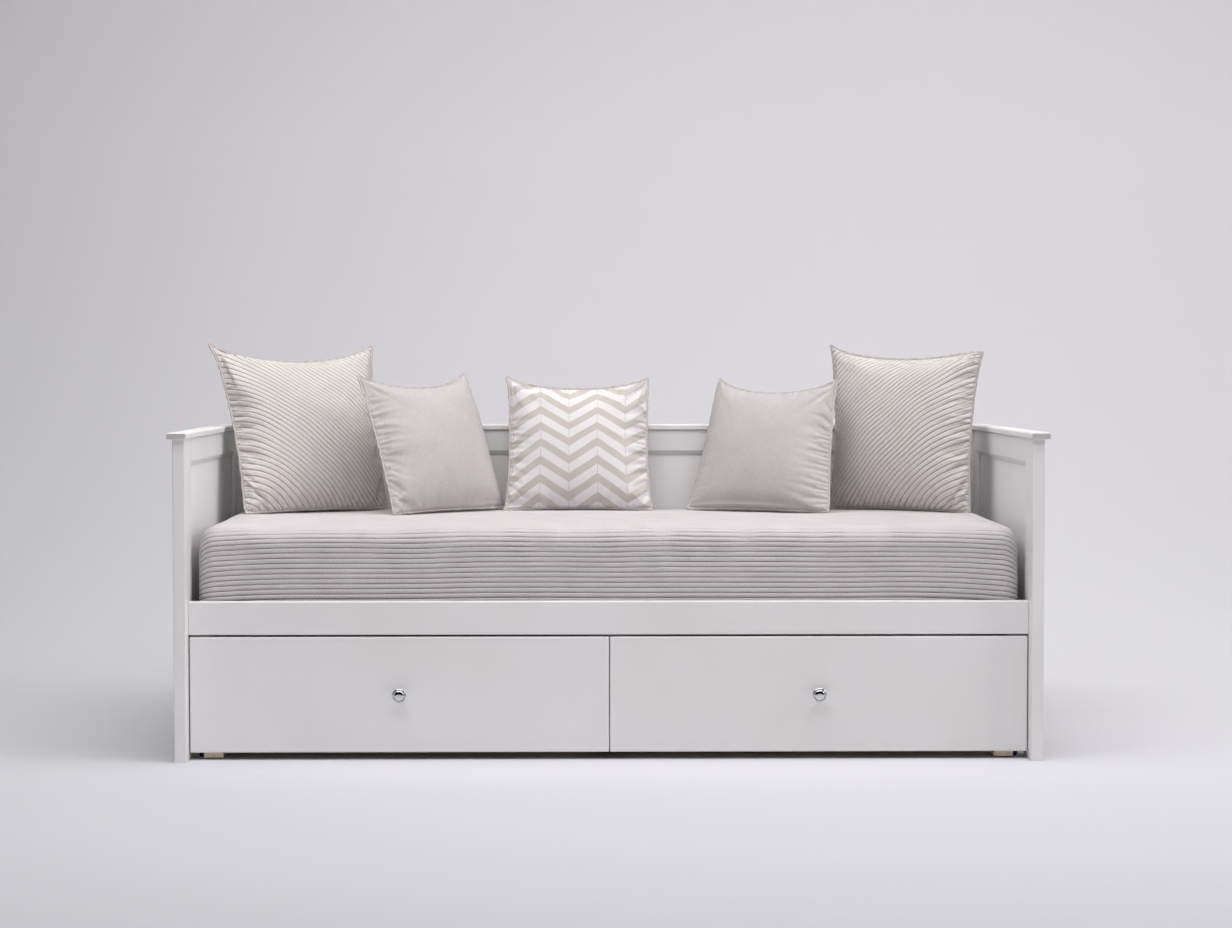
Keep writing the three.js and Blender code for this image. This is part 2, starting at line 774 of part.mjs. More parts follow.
// Cushion skin. u and v run from -1 to 1 over its face; the sides pull in between the corners
// and the crown falls to a sewn edge. The face looks along -Y before the cushion is placed.
function cushionPoint(cushion, u, v, side, dip) {
  const { width, height, thickness, drawSideShare, drawTopShare, drawFootShare, crownPower } = cushion;
  const drawHeight = v > 0 ? drawTopShare : drawFootShare;
  const taper = 1 - cushion.taperShare * v;
  const x = (width / 2) * u * taper * (1 - drawSideShare * (1 - v * v));
  const z = (height / 2) * v * (1 - drawHeight * (1 - u * u));
  const crown = ((1 - u * u) * (1 - v * v)) ** crownPower;
  const edgeFade = Math.min(1, crown / cushion.fadeShare);
  return new THREE.Vector3(x, side * ((thickness / 2) * crown - dip * edgeFade), z);
}

// Lines of points run across the face from edge to edge; line is given as a list of [u, v]
function cushionSkin(cushion, lines, dips) {
  const last = lines[0].length - 1;
  const dipOf = (row, dipped) => (dipped ? dips[row] : 0);
  const pointsOf = (line, side, dip) => line.map(([u, v]) => cushionPoint(cushion, u, v, side, dip));
  const skin = (side, dipped) => lines.map((line, row) => pointsOf(line, side, dipOf(row, dipped)));
  const front = skin(-1, true);
  const back = skin(1, false);
  const rings = front.map((line, row) => [...line, ...back[row].slice(1, last).reverse()]);
  return loft(rings);
}

const spread = (count) =>
  Array.from({ length: count + 1 }, (_, i) => Math.sin(((i / count) * 2 - 1) * (Math.PI / 2)));

function plainCushion(cushion) {
  const steps = spread(cushion.steps);
  const lines = steps.map((v) => steps.map((u) => [u, v]));
  return cushionSkin(cushion, lines, steps.map(() => 0));
}

// Channels run corner to corner: lean is +1 where they fall from the upper left to the lower right
function channelledCushion(cushion) {
  const rows = cushion.channels * 2;
  const steps = spread(cushion.steps);
  const lines = [];
  const dips = [];
  for (let row = 0; row <= rows; row += 1) {
    const across = -2 + (4 * row) / rows;
    const reach = 2 - Math.abs(across);
    lines.push(steps.map((t) => [((across + reach * t) / 2) * cushion.lean, (across - reach * t) / 2]));
    dips.push(row % 2 === 0 ? cushion.channelDepth : 0);
  }
  if (cushion.lean < 0) lines.forEach((line) => line.reverse());
  return cushionSkin(cushion, lines, dips);
}

// A block round a mesh, a fitting gap larger all round
function blockAround(name) {
  const box = new THREE.Box3().setFromObject(daybed.getObjectByName(name)).expandByScalar(fitGap);
  return toSolid(block([box.min.x, box.max.x], [box.min.y, box.max.y], [box.min.z, box.max.z]));
}

// What the cushions stand on and lean against, which flattens them where they meet
function cushionRests() {
  const bed = daybed.getObjectByName("mattress");
  bed.updateWorldMatrix(true, false);
  const raised = bed.geometry.clone().applyMatrix4(bed.matrixWorld).translate(0, 0, fitGap);
  const supports = ["left_end_cap", "right_end_cap", "back_cap", "back_top_rail", "back_infill"];
  return supports.reduce((rests, name) => rests.add(blockAround(name)), toSolid(raised));
}

function addCushion(name, cushion, geometry, colour, rests) {
  const setScale = bedLength / cushionSet.drawnLength;
  const pose = new THREE.Object3D();
  pose.rotation.order = "ZXY";
  pose.rotation.z = THREE.MathUtils.degToRad(cushion.turnDegrees);
  pose.rotation.x = -THREE.MathUtils.degToRad(cushion.tiltDegrees);
  pose.scale.setScalar(setScale);
  pose.position.set(
    cushion.offCentre * setScale,
    frontEdge + backFace - cushion.beforeBack * setScale,
    mattressTop + cushion.aboveMattress * setScale,
  );
  pose.updateMatrix();
  const solid = toSolid(geometry.applyMatrix4(pose.matrix)).subtract(rests);
  addMesh(daybed, name, toGeometry(solid), cloth(colour));
}

function buildCushions() {
  const rests = cushionRests();
  const channelled = [
    ["cushion_left_large", leftLargeCushion, 1],
    ["cushion_right_large", rightLargeCushion, -1],
  ];
  for (const [name, cushion, lean] of channelled) {
    const geometry = channelledCushion({ ...cushion, ...channelledForm, lean });
    addCushion(name, cushion, geometry, colours.quiltedLinen, rests);
  }
  const plain = [
    ["cushion_left_small", leftSmallCushion, colours.plainLinen],
    ["cushion_right_small", rightSmallCushion, colours.plainLinen],
    ["cushion_centre", centreCushion, colours.chevron],
  ];
  for (const [name, cushion, colour] of plain) {
    addCushion(name, cushion, plainCushion({ ...cushion, ...plainForm }), colour, rests);
  }
}

buildEnd("left", -1);
buildEnd("right", 1);
buildBack();
buildBase();
buildSlats();
buildDrawer("left", -1);
buildDrawer("right", 1);
buildMattress();
buildCushions();

export default daybed;
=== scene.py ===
from functools import partial
import math

import bpy
import numpy as np
from mathutils import Matrix, Vector


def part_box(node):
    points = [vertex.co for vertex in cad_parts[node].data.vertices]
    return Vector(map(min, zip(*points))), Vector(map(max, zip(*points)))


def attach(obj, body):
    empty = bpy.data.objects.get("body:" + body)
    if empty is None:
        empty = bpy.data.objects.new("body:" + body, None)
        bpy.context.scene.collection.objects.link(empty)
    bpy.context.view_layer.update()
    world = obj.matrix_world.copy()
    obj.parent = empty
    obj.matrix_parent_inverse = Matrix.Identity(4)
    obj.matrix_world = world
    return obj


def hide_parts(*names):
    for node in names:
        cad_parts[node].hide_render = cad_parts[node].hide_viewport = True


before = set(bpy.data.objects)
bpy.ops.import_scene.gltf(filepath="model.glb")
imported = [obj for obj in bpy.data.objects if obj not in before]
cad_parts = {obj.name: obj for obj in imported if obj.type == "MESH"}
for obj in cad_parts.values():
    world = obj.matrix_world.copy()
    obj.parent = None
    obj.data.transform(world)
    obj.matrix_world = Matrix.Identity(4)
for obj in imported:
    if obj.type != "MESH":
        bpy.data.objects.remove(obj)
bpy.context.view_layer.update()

mm = 0.001

# places read from the frame, in metres
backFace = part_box("back_top_rail")[0].y       # the back panel's front face
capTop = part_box("back_cap")[1].z
mattressLow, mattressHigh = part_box("mattress")
mattressWidth, mattressDepth, mattressHeight = (high - low for low, high in zip(mattressLow, mattressHigh))
mattressMiddle = (mattressLow.y + mattressHigh.y) / 2


def linearColour(code):
    channels = [int(code[i:i + 2], 16) / 255 for i in (1, 3, 5)]
    return [c / 12.92 if c <= 0.04045 else ((c + 0.055) / 1.055) ** 2.4 for c in channels] + [1.0]


def feed(node, inputs):
    # a node given as a value stands for the output it has in use, and a hex code for its linear colour
    for key, value in inputs.items():
        if isinstance(value, bpy.types.Node):
            value = next(o for o in value.outputs if o.enabled)
        if isinstance(value, bpy.types.NodeSocket):
            node.id_data.links.new(value, node.inputs[key])
        else:
            isHex = isinstance(value, str) and value.startswith("#")
            node.inputs[key].default_value = linearColour(value) if isHex else value


def addNode(tree, kind, *given, **settings):
    # a shader node's kind comes without its prefix, and its inputs as a dictionary or in the sockets' order
    node = tree.nodes.new(kind if "Node" in kind else f"ShaderNode{kind}")
    for name, value in settings.items():
        setattr(node, name, value)
    feed(node, given[0] if given and isinstance(given[0], dict) else dict(enumerate(given)))
    return node


def sceneObject(name, data):
    obj = bpy.data.objects.new(name, data)
    bpy.context.scene.collection.objects.link(obj)
    return obj


camera = {"place": (-0.0665, -6.2829, 0.9358), "yawDegrees": 0.80, "pitchDegrees": 2.22, "lens": 71.97, "sensor": 36.0}


def makeCamera():
    data = bpy.data.cameras.new("camera")
    data.lens = camera["lens"]
    data.sensor_width = camera["sensor"]
    obj = sceneObject("camera", data)
    obj.location = camera["place"]
    obj.rotation_euler = (math.radians(90 - camera["pitchDegrees"]), 0, -math.radians(camera["yawDegrees"]))
    bpy.context.scene.camera = obj


makeCamera()
print("camera placed")


def startMaterial(name, values):
    material = bpy.data.materials.new(name)
    material.use_nodes = True
    shader = material.node_tree.nodes["Principled BSDF"]
    feed(shader, values)
    return material, partial(addNode, material.node_tree), shader


def raised(material, add, shader, colour, height, strength, distance):
    relief = add("Bump", {"Height": height, "Strength": strength, "Distance": distance * mm})
    feed(shader, {"Base Color": colour, "Normal": relief})
    return material


def stretched(add, place, axis, across, along):
    # the place in units of a grain that is longer along one axis, its sizes in millimetres
    sizes = [across * mm] * 3
    sizes["XYZ".index(axis)] = along * mm
    return add("Mapping", {"Vector": place, "Scale": [1 / s for s in sizes]})


paint = {
    "colour": "#ecebec", "shade": "#e1dfdf", "endGrain": "#bfbcbc",
    "litPanelColour": "#f4f3f4", "litPanelShade": "#edebeb",   # the panels' paint is whiter than the frame's: painted light, lifting the shade on the inner panels
    "grainWidth": 5.0, "grainLength": 260.0,   # the pine under the paint, only just standing
    "stipple": 1.6,                            # a roller leaves 0.8 mm; drawn coarser so that it shows
    "edge": 1.4, "patch": 350.0,
}


def paintedWood(name, along, colour, shade):
    # satin water-based lacquer, sprayed on sanded pine: even and slightly soft in its shine,
    # a little polished on the arrises
    material, add, shader = startMaterial(name, {"Roughness": 0.42, "IOR": 1.47})
    place = add("TexCoord").outputs["Object"]
    grainPlace = stretched(add, place, along, paint["grainWidth"], paint["grainLength"])
    grain = add("TexNoise", {"Vector": grainPlace, "Scale": 1.0, "Detail": 3.0})
    stipple = add("TexNoise", {"Vector": place, "Scale": 1 / (paint["stipple"] * mm), "Detail": 2.0})
    patches = add("TexNoise", {"Vector": place, "Scale": 1 / (paint["patch"] * mm), "Detail": 2.0})
    tone = add("MapRange", {"Value": patches, "From Min": 0.35, "From Max": 0.7, "To Max": 0.55})
    base = add("Mix", {0: tone, 6: paint[colour], 7: paint[shade]}, data_type="RGBA")
    shine = add("MapRange", {"Value": patches, "From Min": 0.3, "From Max": 0.7, "To Min": 0.38, "To Max": 0.5})
    facing = add("SeparateXYZ", add("NewGeometry").outputs["True Normal"])
    endwise = add("Math", facing.outputs[along], operation="ABSOLUTE")
    onEnd = add("Math", endwise, 0.9, operation="GREATER_THAN")
    base = add("Mix", {0: onEnd, 6: base, 7: paint["endGrain"]}, data_type="RGBA")
    rounded = add("Bevel", {"Radius": paint["edge"] * mm}, samples=4)
    relief = add("Bump", {"Height": grain, "Strength": 0.25, "Distance": 0.25 * mm, "Normal": rounded})
    surface = add("Bump", {"Height": stipple, "Strength": 0.2, "Distance": 0.12 * mm, "Normal": relief})
    feed(shader, {"Base Color": base, "Roughness": shine, "Normal": surface})
    return material


pineWood = {"sap": "#d9cbb4", "late": "#bfa684", "knot": "#6f4526", "ring": 9.0, "ringLength": 520.0,
            "fibre": 1.4, "fibreLength": 40.0, "knotsApart": 90.0, "knotsAlong": 210.0, "rings": 9.0}


def planedPine(name, along):
    # planed and unfinished Scots pine: pale sapwood with brown late-wood lines and a few knots
    material, add, shader = startMaterial(name, {"Roughness": 0.66, "IOR": 1.5})
    place = add("TexCoord").outputs["Object"]
    ringPlace = stretched(add, place, along, pineWood["ring"], pineWood["ringLength"])
    wander = add("TexNoise", {"Vector": ringPlace, "Scale": 0.35, "Detail": 2.0})
    rings = add("Math", wander, pineWood["rings"], operation="MULTIPLY")
    lines = add("Math", rings, 1.0, operation="PINGPONG")
    lateWood = add("MapRange", {"Value": lines, "From Min": 0.55, "From Max": 1.0, "To Max": 0.75})
    fibrePlace = stretched(add, place, along, pineWood["fibre"], pineWood["fibreLength"])
    fibre = add("TexNoise", {"Vector": fibrePlace, "Scale": 1.0, "Detail": 3.0})
    knotPlace = stretched(add, place, along, pineWood["knotsApart"], pineWood["knotsAlong"])
    knots = add("TexVoronoi", {"Vector": knotPlace, "Scale": 1.0})
    knotTone = add("MapRange", {"Value": knots.outputs["Distance"], "From Min": 0.05, "From Max": 0.11, "To Min": 1.0,
                                "To Max": 0.0})
    ringColour = add("Mix", {0: lateWood, 6: pineWood["sap"], 7: pineWood["late"]}, data_type="RGBA")
    colour = add("Mix", {0: knotTone, 6: ringColour, 7: pineWood["knot"]}, data_type="RGBA")
    return raised(material, add, shader, colour, fibre, 0.4, 0.3)


ply = {"face": "#dcc6a0", "streak": "#c8a878", "dark": "#a98355", "plies": 1.67, "grain": 7.0, "grainLength": 300.0}


def birchPlywood(name, along, through):
    # birch plywood under clear lacquer: calm faces, and its plies show as stripes on every edge
    material, add, shader = startMaterial(name, {"Roughness": 0.45, "IOR": 1.5})
    place = add("TexCoord").outputs["Object"]
    grainPlace = stretched(add, place, along, ply["grain"], ply["grainLength"])
    grain = add("TexNoise", {"Vector": grainPlace, "Scale": 1.0, "Detail": 4.0})
    streak = add("MapRange", {"Value": grain, "From Min": 0.4, "From Max": 0.75, "To Max": 0.8})
    face = add("Mix", {0: streak, 6: ply["face"], 7: ply["streak"]}, data_type="RGBA")
    parts = add("SeparateXYZ", place)
    depth = add("Math", parts.outputs[through], 1 / (ply["plies"] * mm), operation="MULTIPLY")
    layers = add("Math", depth, 1.0, operation="PINGPONG")
    layerTone = add("MapRange", {"Value": layers, "From Min": 0.35, "From Max": 0.65})
    edge = add("Mix", {0: layerTone, 6: ply["face"], 7: ply["dark"]}, data_type="RGBA")
    normal = add("SeparateXYZ", add("NewGeometry").outputs["True Normal"])
    facing = add("Math", normal.outputs[through], operation="ABSOLUTE")
    onEdge = add("Math", facing, 0.5, operation="LESS_THAN")
    colour = add("Mix", {0: onEdge, 6: face, 7: edge}, data_type="RGBA")
    return raised(material, add, shader, colour, grain, 0.2, 0.2)


hardware = {"chrome": "#d9dadc", "polish": (0.03, 0.1), "haze": 6.0,
            "zinc": "#a3a5a7", "zincPale": "#b4b6b8", "zincDark": "#85888b", "mottle": 1.8,
            "nylon": "#232222", "dust": "#5a5654", "spark": 0.7, "dustPatch": 9.0}


def chromedZinc():
    # die-cast zinc, polished and chrome plated: a clear mirror with faint polishing haze
    material, add, shader = startMaterial("chromedZinc", {"Base Color": hardware["chrome"], "Metallic": 1.0,
                                                          "Roughness": 0.05})
    place = add("TexCoord").outputs["Object"]
    haze = add("TexNoise", {"Vector": place, "Scale": 1 / (hardware["haze"] * mm), "Detail": 3.0})
    low, high = hardware["polish"]
    shine = add("MapRange", {"Value": haze, "From Min": 0.35, "From Max": 0.75, "To Min": low, "To Max": high})
    feed(shader, {"Roughness": shine})
    return material


def zincPlatedSteel():
    # zinc-plated steel screws: grey, slightly mottled from the plating bath
    material, add, shader = startMaterial("zincPlatedSteel",
                                          {"Base Color": hardware["zinc"], "Metallic": 1.0, "Roughness": 0.32})
    place = add("TexCoord").outputs["Object"]
    mottle = add("TexNoise", {"Vector": place, "Scale": 1 / (hardware["mottle"] * mm), "Detail": 3.0})
    colour = add("Mix", {0: mottle, 6: hardware["zincPale"], 7: hardware["zincDark"]}, data_type="RGBA")
    return raised(material, add, shader, colour, mottle, 0.2, 0.1)


def mouldedNylon():
    # black moulded nylon wheels: matt from the mould's spark texture, greyed with dust on the tread
    material, add, shader = startMaterial("mouldedNylon", {"Roughness": 0.5, "IOR": 1.53})
    place = add("TexCoord").outputs["Object"]
    spark = add("TexNoise", {"Vector": place, "Scale": 1 / (hardware["spark"] * mm), "Detail": 2.0})
    dust = add("TexNoise", {"Vector": place, "Scale": 1 / (hardware["dustPatch"] * mm), "Detail": 4.0})
    dusty = add("MapRange", {"Value": dust, "From Min": 0.45, "From Max": 0.8, "To Max": 0.5})
    colour = add("Mix", {0: dusty, 6: hardware["nylon"], 7: hardware["dust"]}, data_type="RGBA")
    return raised(material, add, shader, colour, spark, 0.4, 0.1)


cloths = {
    # stone-washed cotton, sewn in narrow channels over a thin wadding
    # groove is the colour of the painted shade in the stitched lines
    "coverlet": {"colour": "#d1cdcf", "slub": "#c6c1c3", "groove": "#7b6760", "faintest": 0.6, "thread": 0.9,
                 "slubLength": 9.0, "relief": 0.35, "sheen": 0.01, "channelled": True},
    "quiltedLinen": {"colour": "#ded9d8", "slub": "#d1cdca", "groove": "#81716a", "faintest": 0.6, "thread": 0.9,
                     "slubLength": 9.0, "relief": 0.35, "sheen": 0.01, "channelled": True},
    # plain-woven linen with slubs in warp and weft
    "plainLinen": {"colour": "#c7c3c3", "slub": "#bab5b4", "thread": 1.3, "slubLength": 22.0,
                   "relief": 0.5, "sheen": 0.02},
    # half-panama cotton with a traditional chevron printed in taupe
    "chevronCotton": {"colour": "#e8e6e8", "slub": "#dedbdd", "thread": 0.9, "slubLength": 7.0,
                      "relief": 0.3, "sheen": 0.02, "chevron": True},
}
chevron = {"print": "#c7c1ba", "column": 84.0, "peak": -112.0, "slope": 0.66, "period": 53.0, "share": 0.47,
           "phase": 12.0, "softness": 0.05, "wobble": 5.0, "wobbleLength": 60.0, "line": 1.1, "lineShare": 0.75}
# how the sewn lines show, with painted shade in them; a channel is 1 wide from line to line
quilting = {"line": (0.03, 0.12), "grooveShadeMost": 0.8, "patch": 110.0, "crinkle": (5.5, 11.0), "pucker": 2.0,
            "puckerShare": 0.75, "slope": 0.2, "sink": 1.5, "wash": 90.0}

seam = {"width": 4.5, "thick": 1.5, "ruffle": 0.9, "shortest": 18.0, "longest": 60.0, "edge": "#94796d",
        "stitchSpacing": 3.6, "stitchLength": 2.5, "stitchThick": 0.55, "stitchInset": 2, "thread": "#ab9d96",
        "overlock": 3.0, "tuck": 1.5, "waver": 0.12, "waves": 24, "smoothings": 6, "turnsWithin": 7.0, "halfway": 0.35}


def sewChannels(add, cut, colour, spec):
    # channel counts the sewn lines, so its whole numbers are the lines themselves
    channel = add("Attribute", attribute_name="channel").outputs["Fac"]
    fromLine = add("Math", channel, 0.5, operation="PINGPONG")
    near, far = quilting["line"]
    # the grooves are coloured towards the groove colour: painted shade in the stitched creases, more where they are
    # deep
    grooveShadeShare = add("MapRange", {"Value": fromLine, "From Min": near, "From Max": far, "To Min": quilting["grooveShadeMost"],
                                "To Max": 0.0})
    depth = add("Attribute", attribute_name="depth").outputs["Fac"]
    uneven = add("TexNoise", {"Vector": cut, "Scale": 1 / (quilting["patch"] * mm), "Detail": 2.0})
    strong = add("MapRange", {"Value": uneven, "From Min": 0.35, "From Max": 0.65, "To Min": spec["faintest"],
                              "To Max": 1.0})
    shown = add("Math", depth, strong, operation="MULTIPLY")
    paintedGrooveShade = add("Math", grooveShadeShare, shown, operation="MULTIPLY")
    colour = add("Mix", {0: paintedGrooveShade, 6: colour, 7: spec["groove"]}, data_type="RGBA")
    acrossRibs = add("Mapping", {"Vector": cut, "Scale": [1 / (s * mm) for s in quilting["crinkle"]] + [1]})
    crinkle = add("TexNoise", {"Vector": acrossRibs, "Scale": 1.0, "Detail": 3.0})
    drawnUp = add("Math", crinkle, depth, operation="MULTIPLY")
    puckers = add("Bump", {"Height": drawnUp, "Strength": quilting["puckerShare"],
                           "Distance": quilting["pucker"] * mm})
    fall = add("MapRange", {"Value": fromLine, "From Max": quilting["slope"]}, interpolation_type="SMOOTHSTEP")
    sunk = add("Math", fall, depth, operation="MULTIPLY")
    groove = add("Bump", {"Height": sunk, "Strength": 0.8, "Distance": quilting["sink"] * mm, "Normal": puckers})
    return colour, groove


def wovenCloth(name):
    spec = cloths[name]
    material, add, shader = startMaterial(name, {"Roughness": 1.0, "IOR": 1.45, "Specular IOR Level": 0.0,
                                                 "Sheen Weight": spec["sheen"], "Sheen Roughness": 0.6})
    cut = add("UVMap", uv_map="cloth")   # metres on the flat cloth
    thread, slubLength = spec["thread"] * mm, spec["slubLength"] * mm
    warpPlace = add("Mapping", {"Vector": cut, "Scale": [1 / thread, 1 / slubLength, 1]})
    weftPlace = add("Mapping", {"Vector": cut, "Scale": [1 / slubLength, 1 / thread, 1]})
    warp = add("TexNoise", {"Vector": warpPlace, "Scale": 1.0, "Detail": 2.0})
    weft = add("TexNoise", {"Vector": weftPlace, "Scale": 1.0, "Detail": 2.0})
    weave = add("Math", warp, weft, operation="ADD")
    slubs = add("MapRange", {"Value": weave, "From Min": 0.8, "From Max": 1.25})
    colour = add("Mix", {0: slubs, 6: spec["colour"], 7: spec["slub"]}, data_type="RGBA")
    if spec.get("chevron"):
        colour = printChevron(add, cut, colour)
    wash = add("TexNoise", {"Vector": cut, "Scale": 1 / (quilting["wash"] * mm), "Detail": 3.0})
    washed = add("MapRange", {"Value": wash, "From Min": 0.3, "From Max": 0.7, "To Min": 0.95, "To Max": 1.03})
    colour = add("VectorMath", {0: colour, "Scale": washed}, operation="SCALE")
    under = {}
    if spec.get("channelled"):
        colour, under["Normal"] = sewChannels(add, cut, colour, spec)
    relief = add("Bump", {"Height": weave, "Strength": spec["relief"], "Distance": 0.3 * mm, **under})
    feed(shader, {"Base Color": colour, "Normal": relief})
    return material


def seamTape():
    # the folded edge of the same cloth, bound with taupe-brown thread along its rim
    material, add, shader = startMaterial("foldedSeam", {"Roughness": 0.9, "IOR": 1.45, "Specular IOR Level": 0.25,
                                                         "Sheen Weight": 0.15})
    cut = add("UVMap", uv_map="cloth")
    parts = add("SeparateXYZ", cut)
    rim = add("MapRange", {"Value": parts.outputs["Y"], "From Min": 0.55 * seam["width"] * mm,
                           "From Max": 0.95 * seam["width"] * mm})
    turns = add("Math", parts.outputs["X"], 1 / (seam["overlock"] * mm), operation="MULTIPLY")
    overlock = add("Math", turns, 0.5, operation="PINGPONG")
    patchy = add("TexNoise", {"Vector": cut, "Scale": 1 / 0.03, "Detail": 2.0})
    share = add("MapRange", {"Value": patchy, "From Min": 0.35, "From Max": 0.6, "To Min": 0.25})
    bound = add("Math", rim, share, operation="MULTIPLY")
    colour = add("Mix", {0: bound, 6: cloths["plainLinen"]["colour"], 7: seam["edge"]}, data_type="RGBA")
    return raised(material, add, shader, colour, overlock, 0.5, 0.4)


def sewingThread():
    # spun polyester sewing thread, two plies twisted
    material, add, shader = startMaterial("spunThread", {"Roughness": 0.7, "Sheen Weight": 0.2})
    place = add("TexCoord").outputs["Object"]
    twist = add("TexNoise", {"Vector": place, "Scale": 1 / (0.8 * mm), "Detail": 1.0})
    colour = add("Mix", {0: twist, 6: seam["thread"], 7: seam["edge"]}, data_type="RGBA")
    return raised(material, add, shader, colour, twist, 0.3, 0.1)


def printChevron(add, cut, ground):
    parts = add("SeparateXYZ", cut)
    wobble = add("TexNoise", {"Vector": cut, "Scale": 1 / (chevron["wobbleLength"] * mm), "Detail": 1.0})
    across = add("Math", parts.outputs["X"], chevron["peak"] * mm, operation="SUBTRACT")
    fromPeak = add("Math", across, chevron["column"] * mm, operation="PINGPONG")
    rise = add("Math", fromPeak, chevron["slope"], operation="MULTIPLY")
    up = add("Math", parts.outputs["Y"], rise, operation="ADD")
    drawn = add("Math", wobble, chevron["wobble"] * mm, up, operation="MULTIPLY_ADD")
    turns = add("Math", drawn, 1 / (chevron["period"] * mm), chevron["phase"], operation="MULTIPLY_ADD")
    stripe = add("Math", turns, 0.5, operation="PINGPONG")
    edge = chevron["share"] / 2
    inked = add("MapRange", {"Value": stripe, "From Min": edge - chevron["softness"] / 2,
                             "From Max": edge + chevron["softness"] / 2, "To Min": 1.0, "To Max": 0.0})
    onLine = add("Math", fromPeak, chevron["line"] * mm, operation="LESS_THAN")
    farSide = add("Math", fromPeak, (chevron["column"] - chevron["line"]) * mm, operation="GREATER_THAN")
    lines = add("Math", onLine, farSide, operation="MAXIMUM")
    faint = add("Math", lines, chevron["lineShare"], operation="MULTIPLY")
    ink = add("Math", inked, faint, operation="MAXIMUM")
    return add("Mix", {0: ink, 6: ground, 7: chevron["print"]}, data_type="RGBA")


finishes = {name: wovenCloth(name) for name in cloths}
finishes.update({f"paint{axis}": paintedWood(f"paintedPineAlong{axis}", axis, "colour", "shade") for axis in "XYZ"})
# the infill panels take a whiter copy of the paint, as painted light for the fill they lack
finishes["panel"] = paintedWood("panelPaintWhitenedAsFill", "Z", "litPanelColour", "litPanelShade")
finishes.update({f"pine{axis}": planedPine(f"planedPineAlong{axis}", axis) for axis in "XYZ"})
finishes["plySide"] = birchPlywood("birchPlywoodSide", "Y", "X")
finishes["plyBack"] = birchPlywood("birchPlywoodBack", "X", "Y")
finishes["plyBottom"] = birchPlywood("birchPlywoodBottom", "X", "Z")
finishes["chrome"] = chromedZinc()
finishes["steel"] = zincPlatedSteel()
finishes["nylon"] = mouldedNylon()
finishes["seamTape"] = seamTape()
finishes["thread"] = sewingThread()
print("materials made:", len(finishes))


# The timber runs along each member, so its finish does too.
def dressFrame():
    alongX = ["back_top_rail", "back_bottom_rail", "back_cap", "front_rail"]
    alongY = [f"{side}_end_{part}" for side in ("left", "right") for part in ("top_rail", "bottom_rail", "cap")]
    alongZ = [f"{side}_{part}" for side in ("left", "right") for part in ("front_stile", "rear_stile")]
    alongZ += ["back_left_stile", "back_right_stile"]
    dressed = {name: "paintX" for name in alongX + ["left_drawer_front", "right_drawer_front"]}
    dressed.update({name: "paintY" for name in alongY})
    dressed.update({name: "paintZ" for name in alongZ})
    dressed.update({name: "panel" for name in ("left_end_infill", "right_end_infill", "back_infill")})
    dressed.update({"front_ledger": "pineX", "rear_ledger": "pineX", "slat_roll": "pineY", "centre_bearer": "pineY",
                    "left_drawer_kicker": "pineY", "right_drawer_kicker": "pineY", "centre_divider": "pineY"})
    for side in ("left", "right"):
        drawer = f"{side}_drawer"
        dressed.update({f"{drawer}_outer_side": "plySide", f"{drawer}_middle_side": "plySide",
                        f"{drawer}_back": "plyBack", f"{drawer}_bottom": "plyBottom", f"{drawer}_knob": "chrome",
                        f"{drawer}_knob_screw": "steel", f"{drawer}_front_outer_block": "pineY",
                        f"{drawer}_front_middle_block": "pineY", f"{drawer}_rear_batten": "pineX",})
        for corner in ("front_outer", "front_middle", "rear_outer", "rear_middle"):
            dressed[f"{drawer}_{corner}_wheel"] = "nylon"
    for node, finish in dressed.items():
        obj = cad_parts[node]
        obj.data.materials.clear()
        obj.data.materials.append(finishes[finish])
    print("CAD nodes dressed:", len(dressed))


dressFrame()


def waves(u, v, seed, low, high, count=40):
    # an even, seeded roughness made of sine waves between two numbers of turns
    rng = np.random.default_rng(seed)
    angle = rng.uniform(0, 2 * math.pi, count)
    turns = rng.uniform(low, high, count)
    phase = rng.uniform(0, 2 * math.pi, count)
    total = np.zeros(np.broadcast(u, v).shape)
    for a, t, p in zip(angle, turns, phase):
        total += np.sin(t * (u * math.cos(a) + v * math.sin(a)) + p)
    return total / math.sqrt(count)


def refined(grid, factor):
    # Catmull-Rom curves through the rows and then the columns
    def along(values):
        first = 2 * values[:1] - values[1:2]
        last = 2 * values[-1:] - values[-2:-1]
        padded = np.concatenate([first, values, last])
        a, b, c, d = padded[:-3], padded[1:-2], padded[2:-1], padded[3:]
        parts = []
        for step in range(factor):
            t = step / factor
            parts.append(b + 0.5 * t * (c - a + t * (2 * a - 5 * b + 4 * c - d + t * (3 * (b - c) + d - a))))
        woven = np.stack(parts, 1).reshape(-1, *values.shape[1:])
        return np.concatenate([woven, values[-1:]])
    return np.swapaxes(along(np.swapaxes(along(grid), 0, 1)), 0, 1)


def softened(grid, radius):
    # a running Gaussian mean that keeps the border where it is
    reach = int(3 * radius)
    weights = np.exp(-0.5 * (np.arange(-reach, reach + 1) / radius) ** 2)
    weights /= weights.sum()
    for axis in (0, 1):
        values = np.swapaxes(grid, 0, axis)
        count = len(values)
        before = 2 * values[:1] - values[reach:0:-1]
        after = 2 * values[-1:] - values[-2:-reach - 2:-1]
        padded = np.concatenate([before, values, after])
        values = sum(w * padded[i:i + count] for i, w in enumerate(weights))
        grid = np.swapaxes(values, 0, axis)
    return grid


def runOf(path):
    # the length walked at each point of a path
    return np.concatenate([[0], np.cumsum(np.linalg.norm(np.diff(path, axis=0), axis=1))])


def gridNormals(grid):
    n = np.cross(np.gradient(grid, axis=1), np.gradient(grid, axis=0))
    return n / np.maximum(np.linalg.norm(n, axis=-1, keepdims=True), 1e-12)


def tubeIds(count, around):
    # rows of ids whose last column is their first again
    ids = np.arange(count * around).reshape(count, around)
    return np.concatenate([ids, ids[:, :1]], 1)


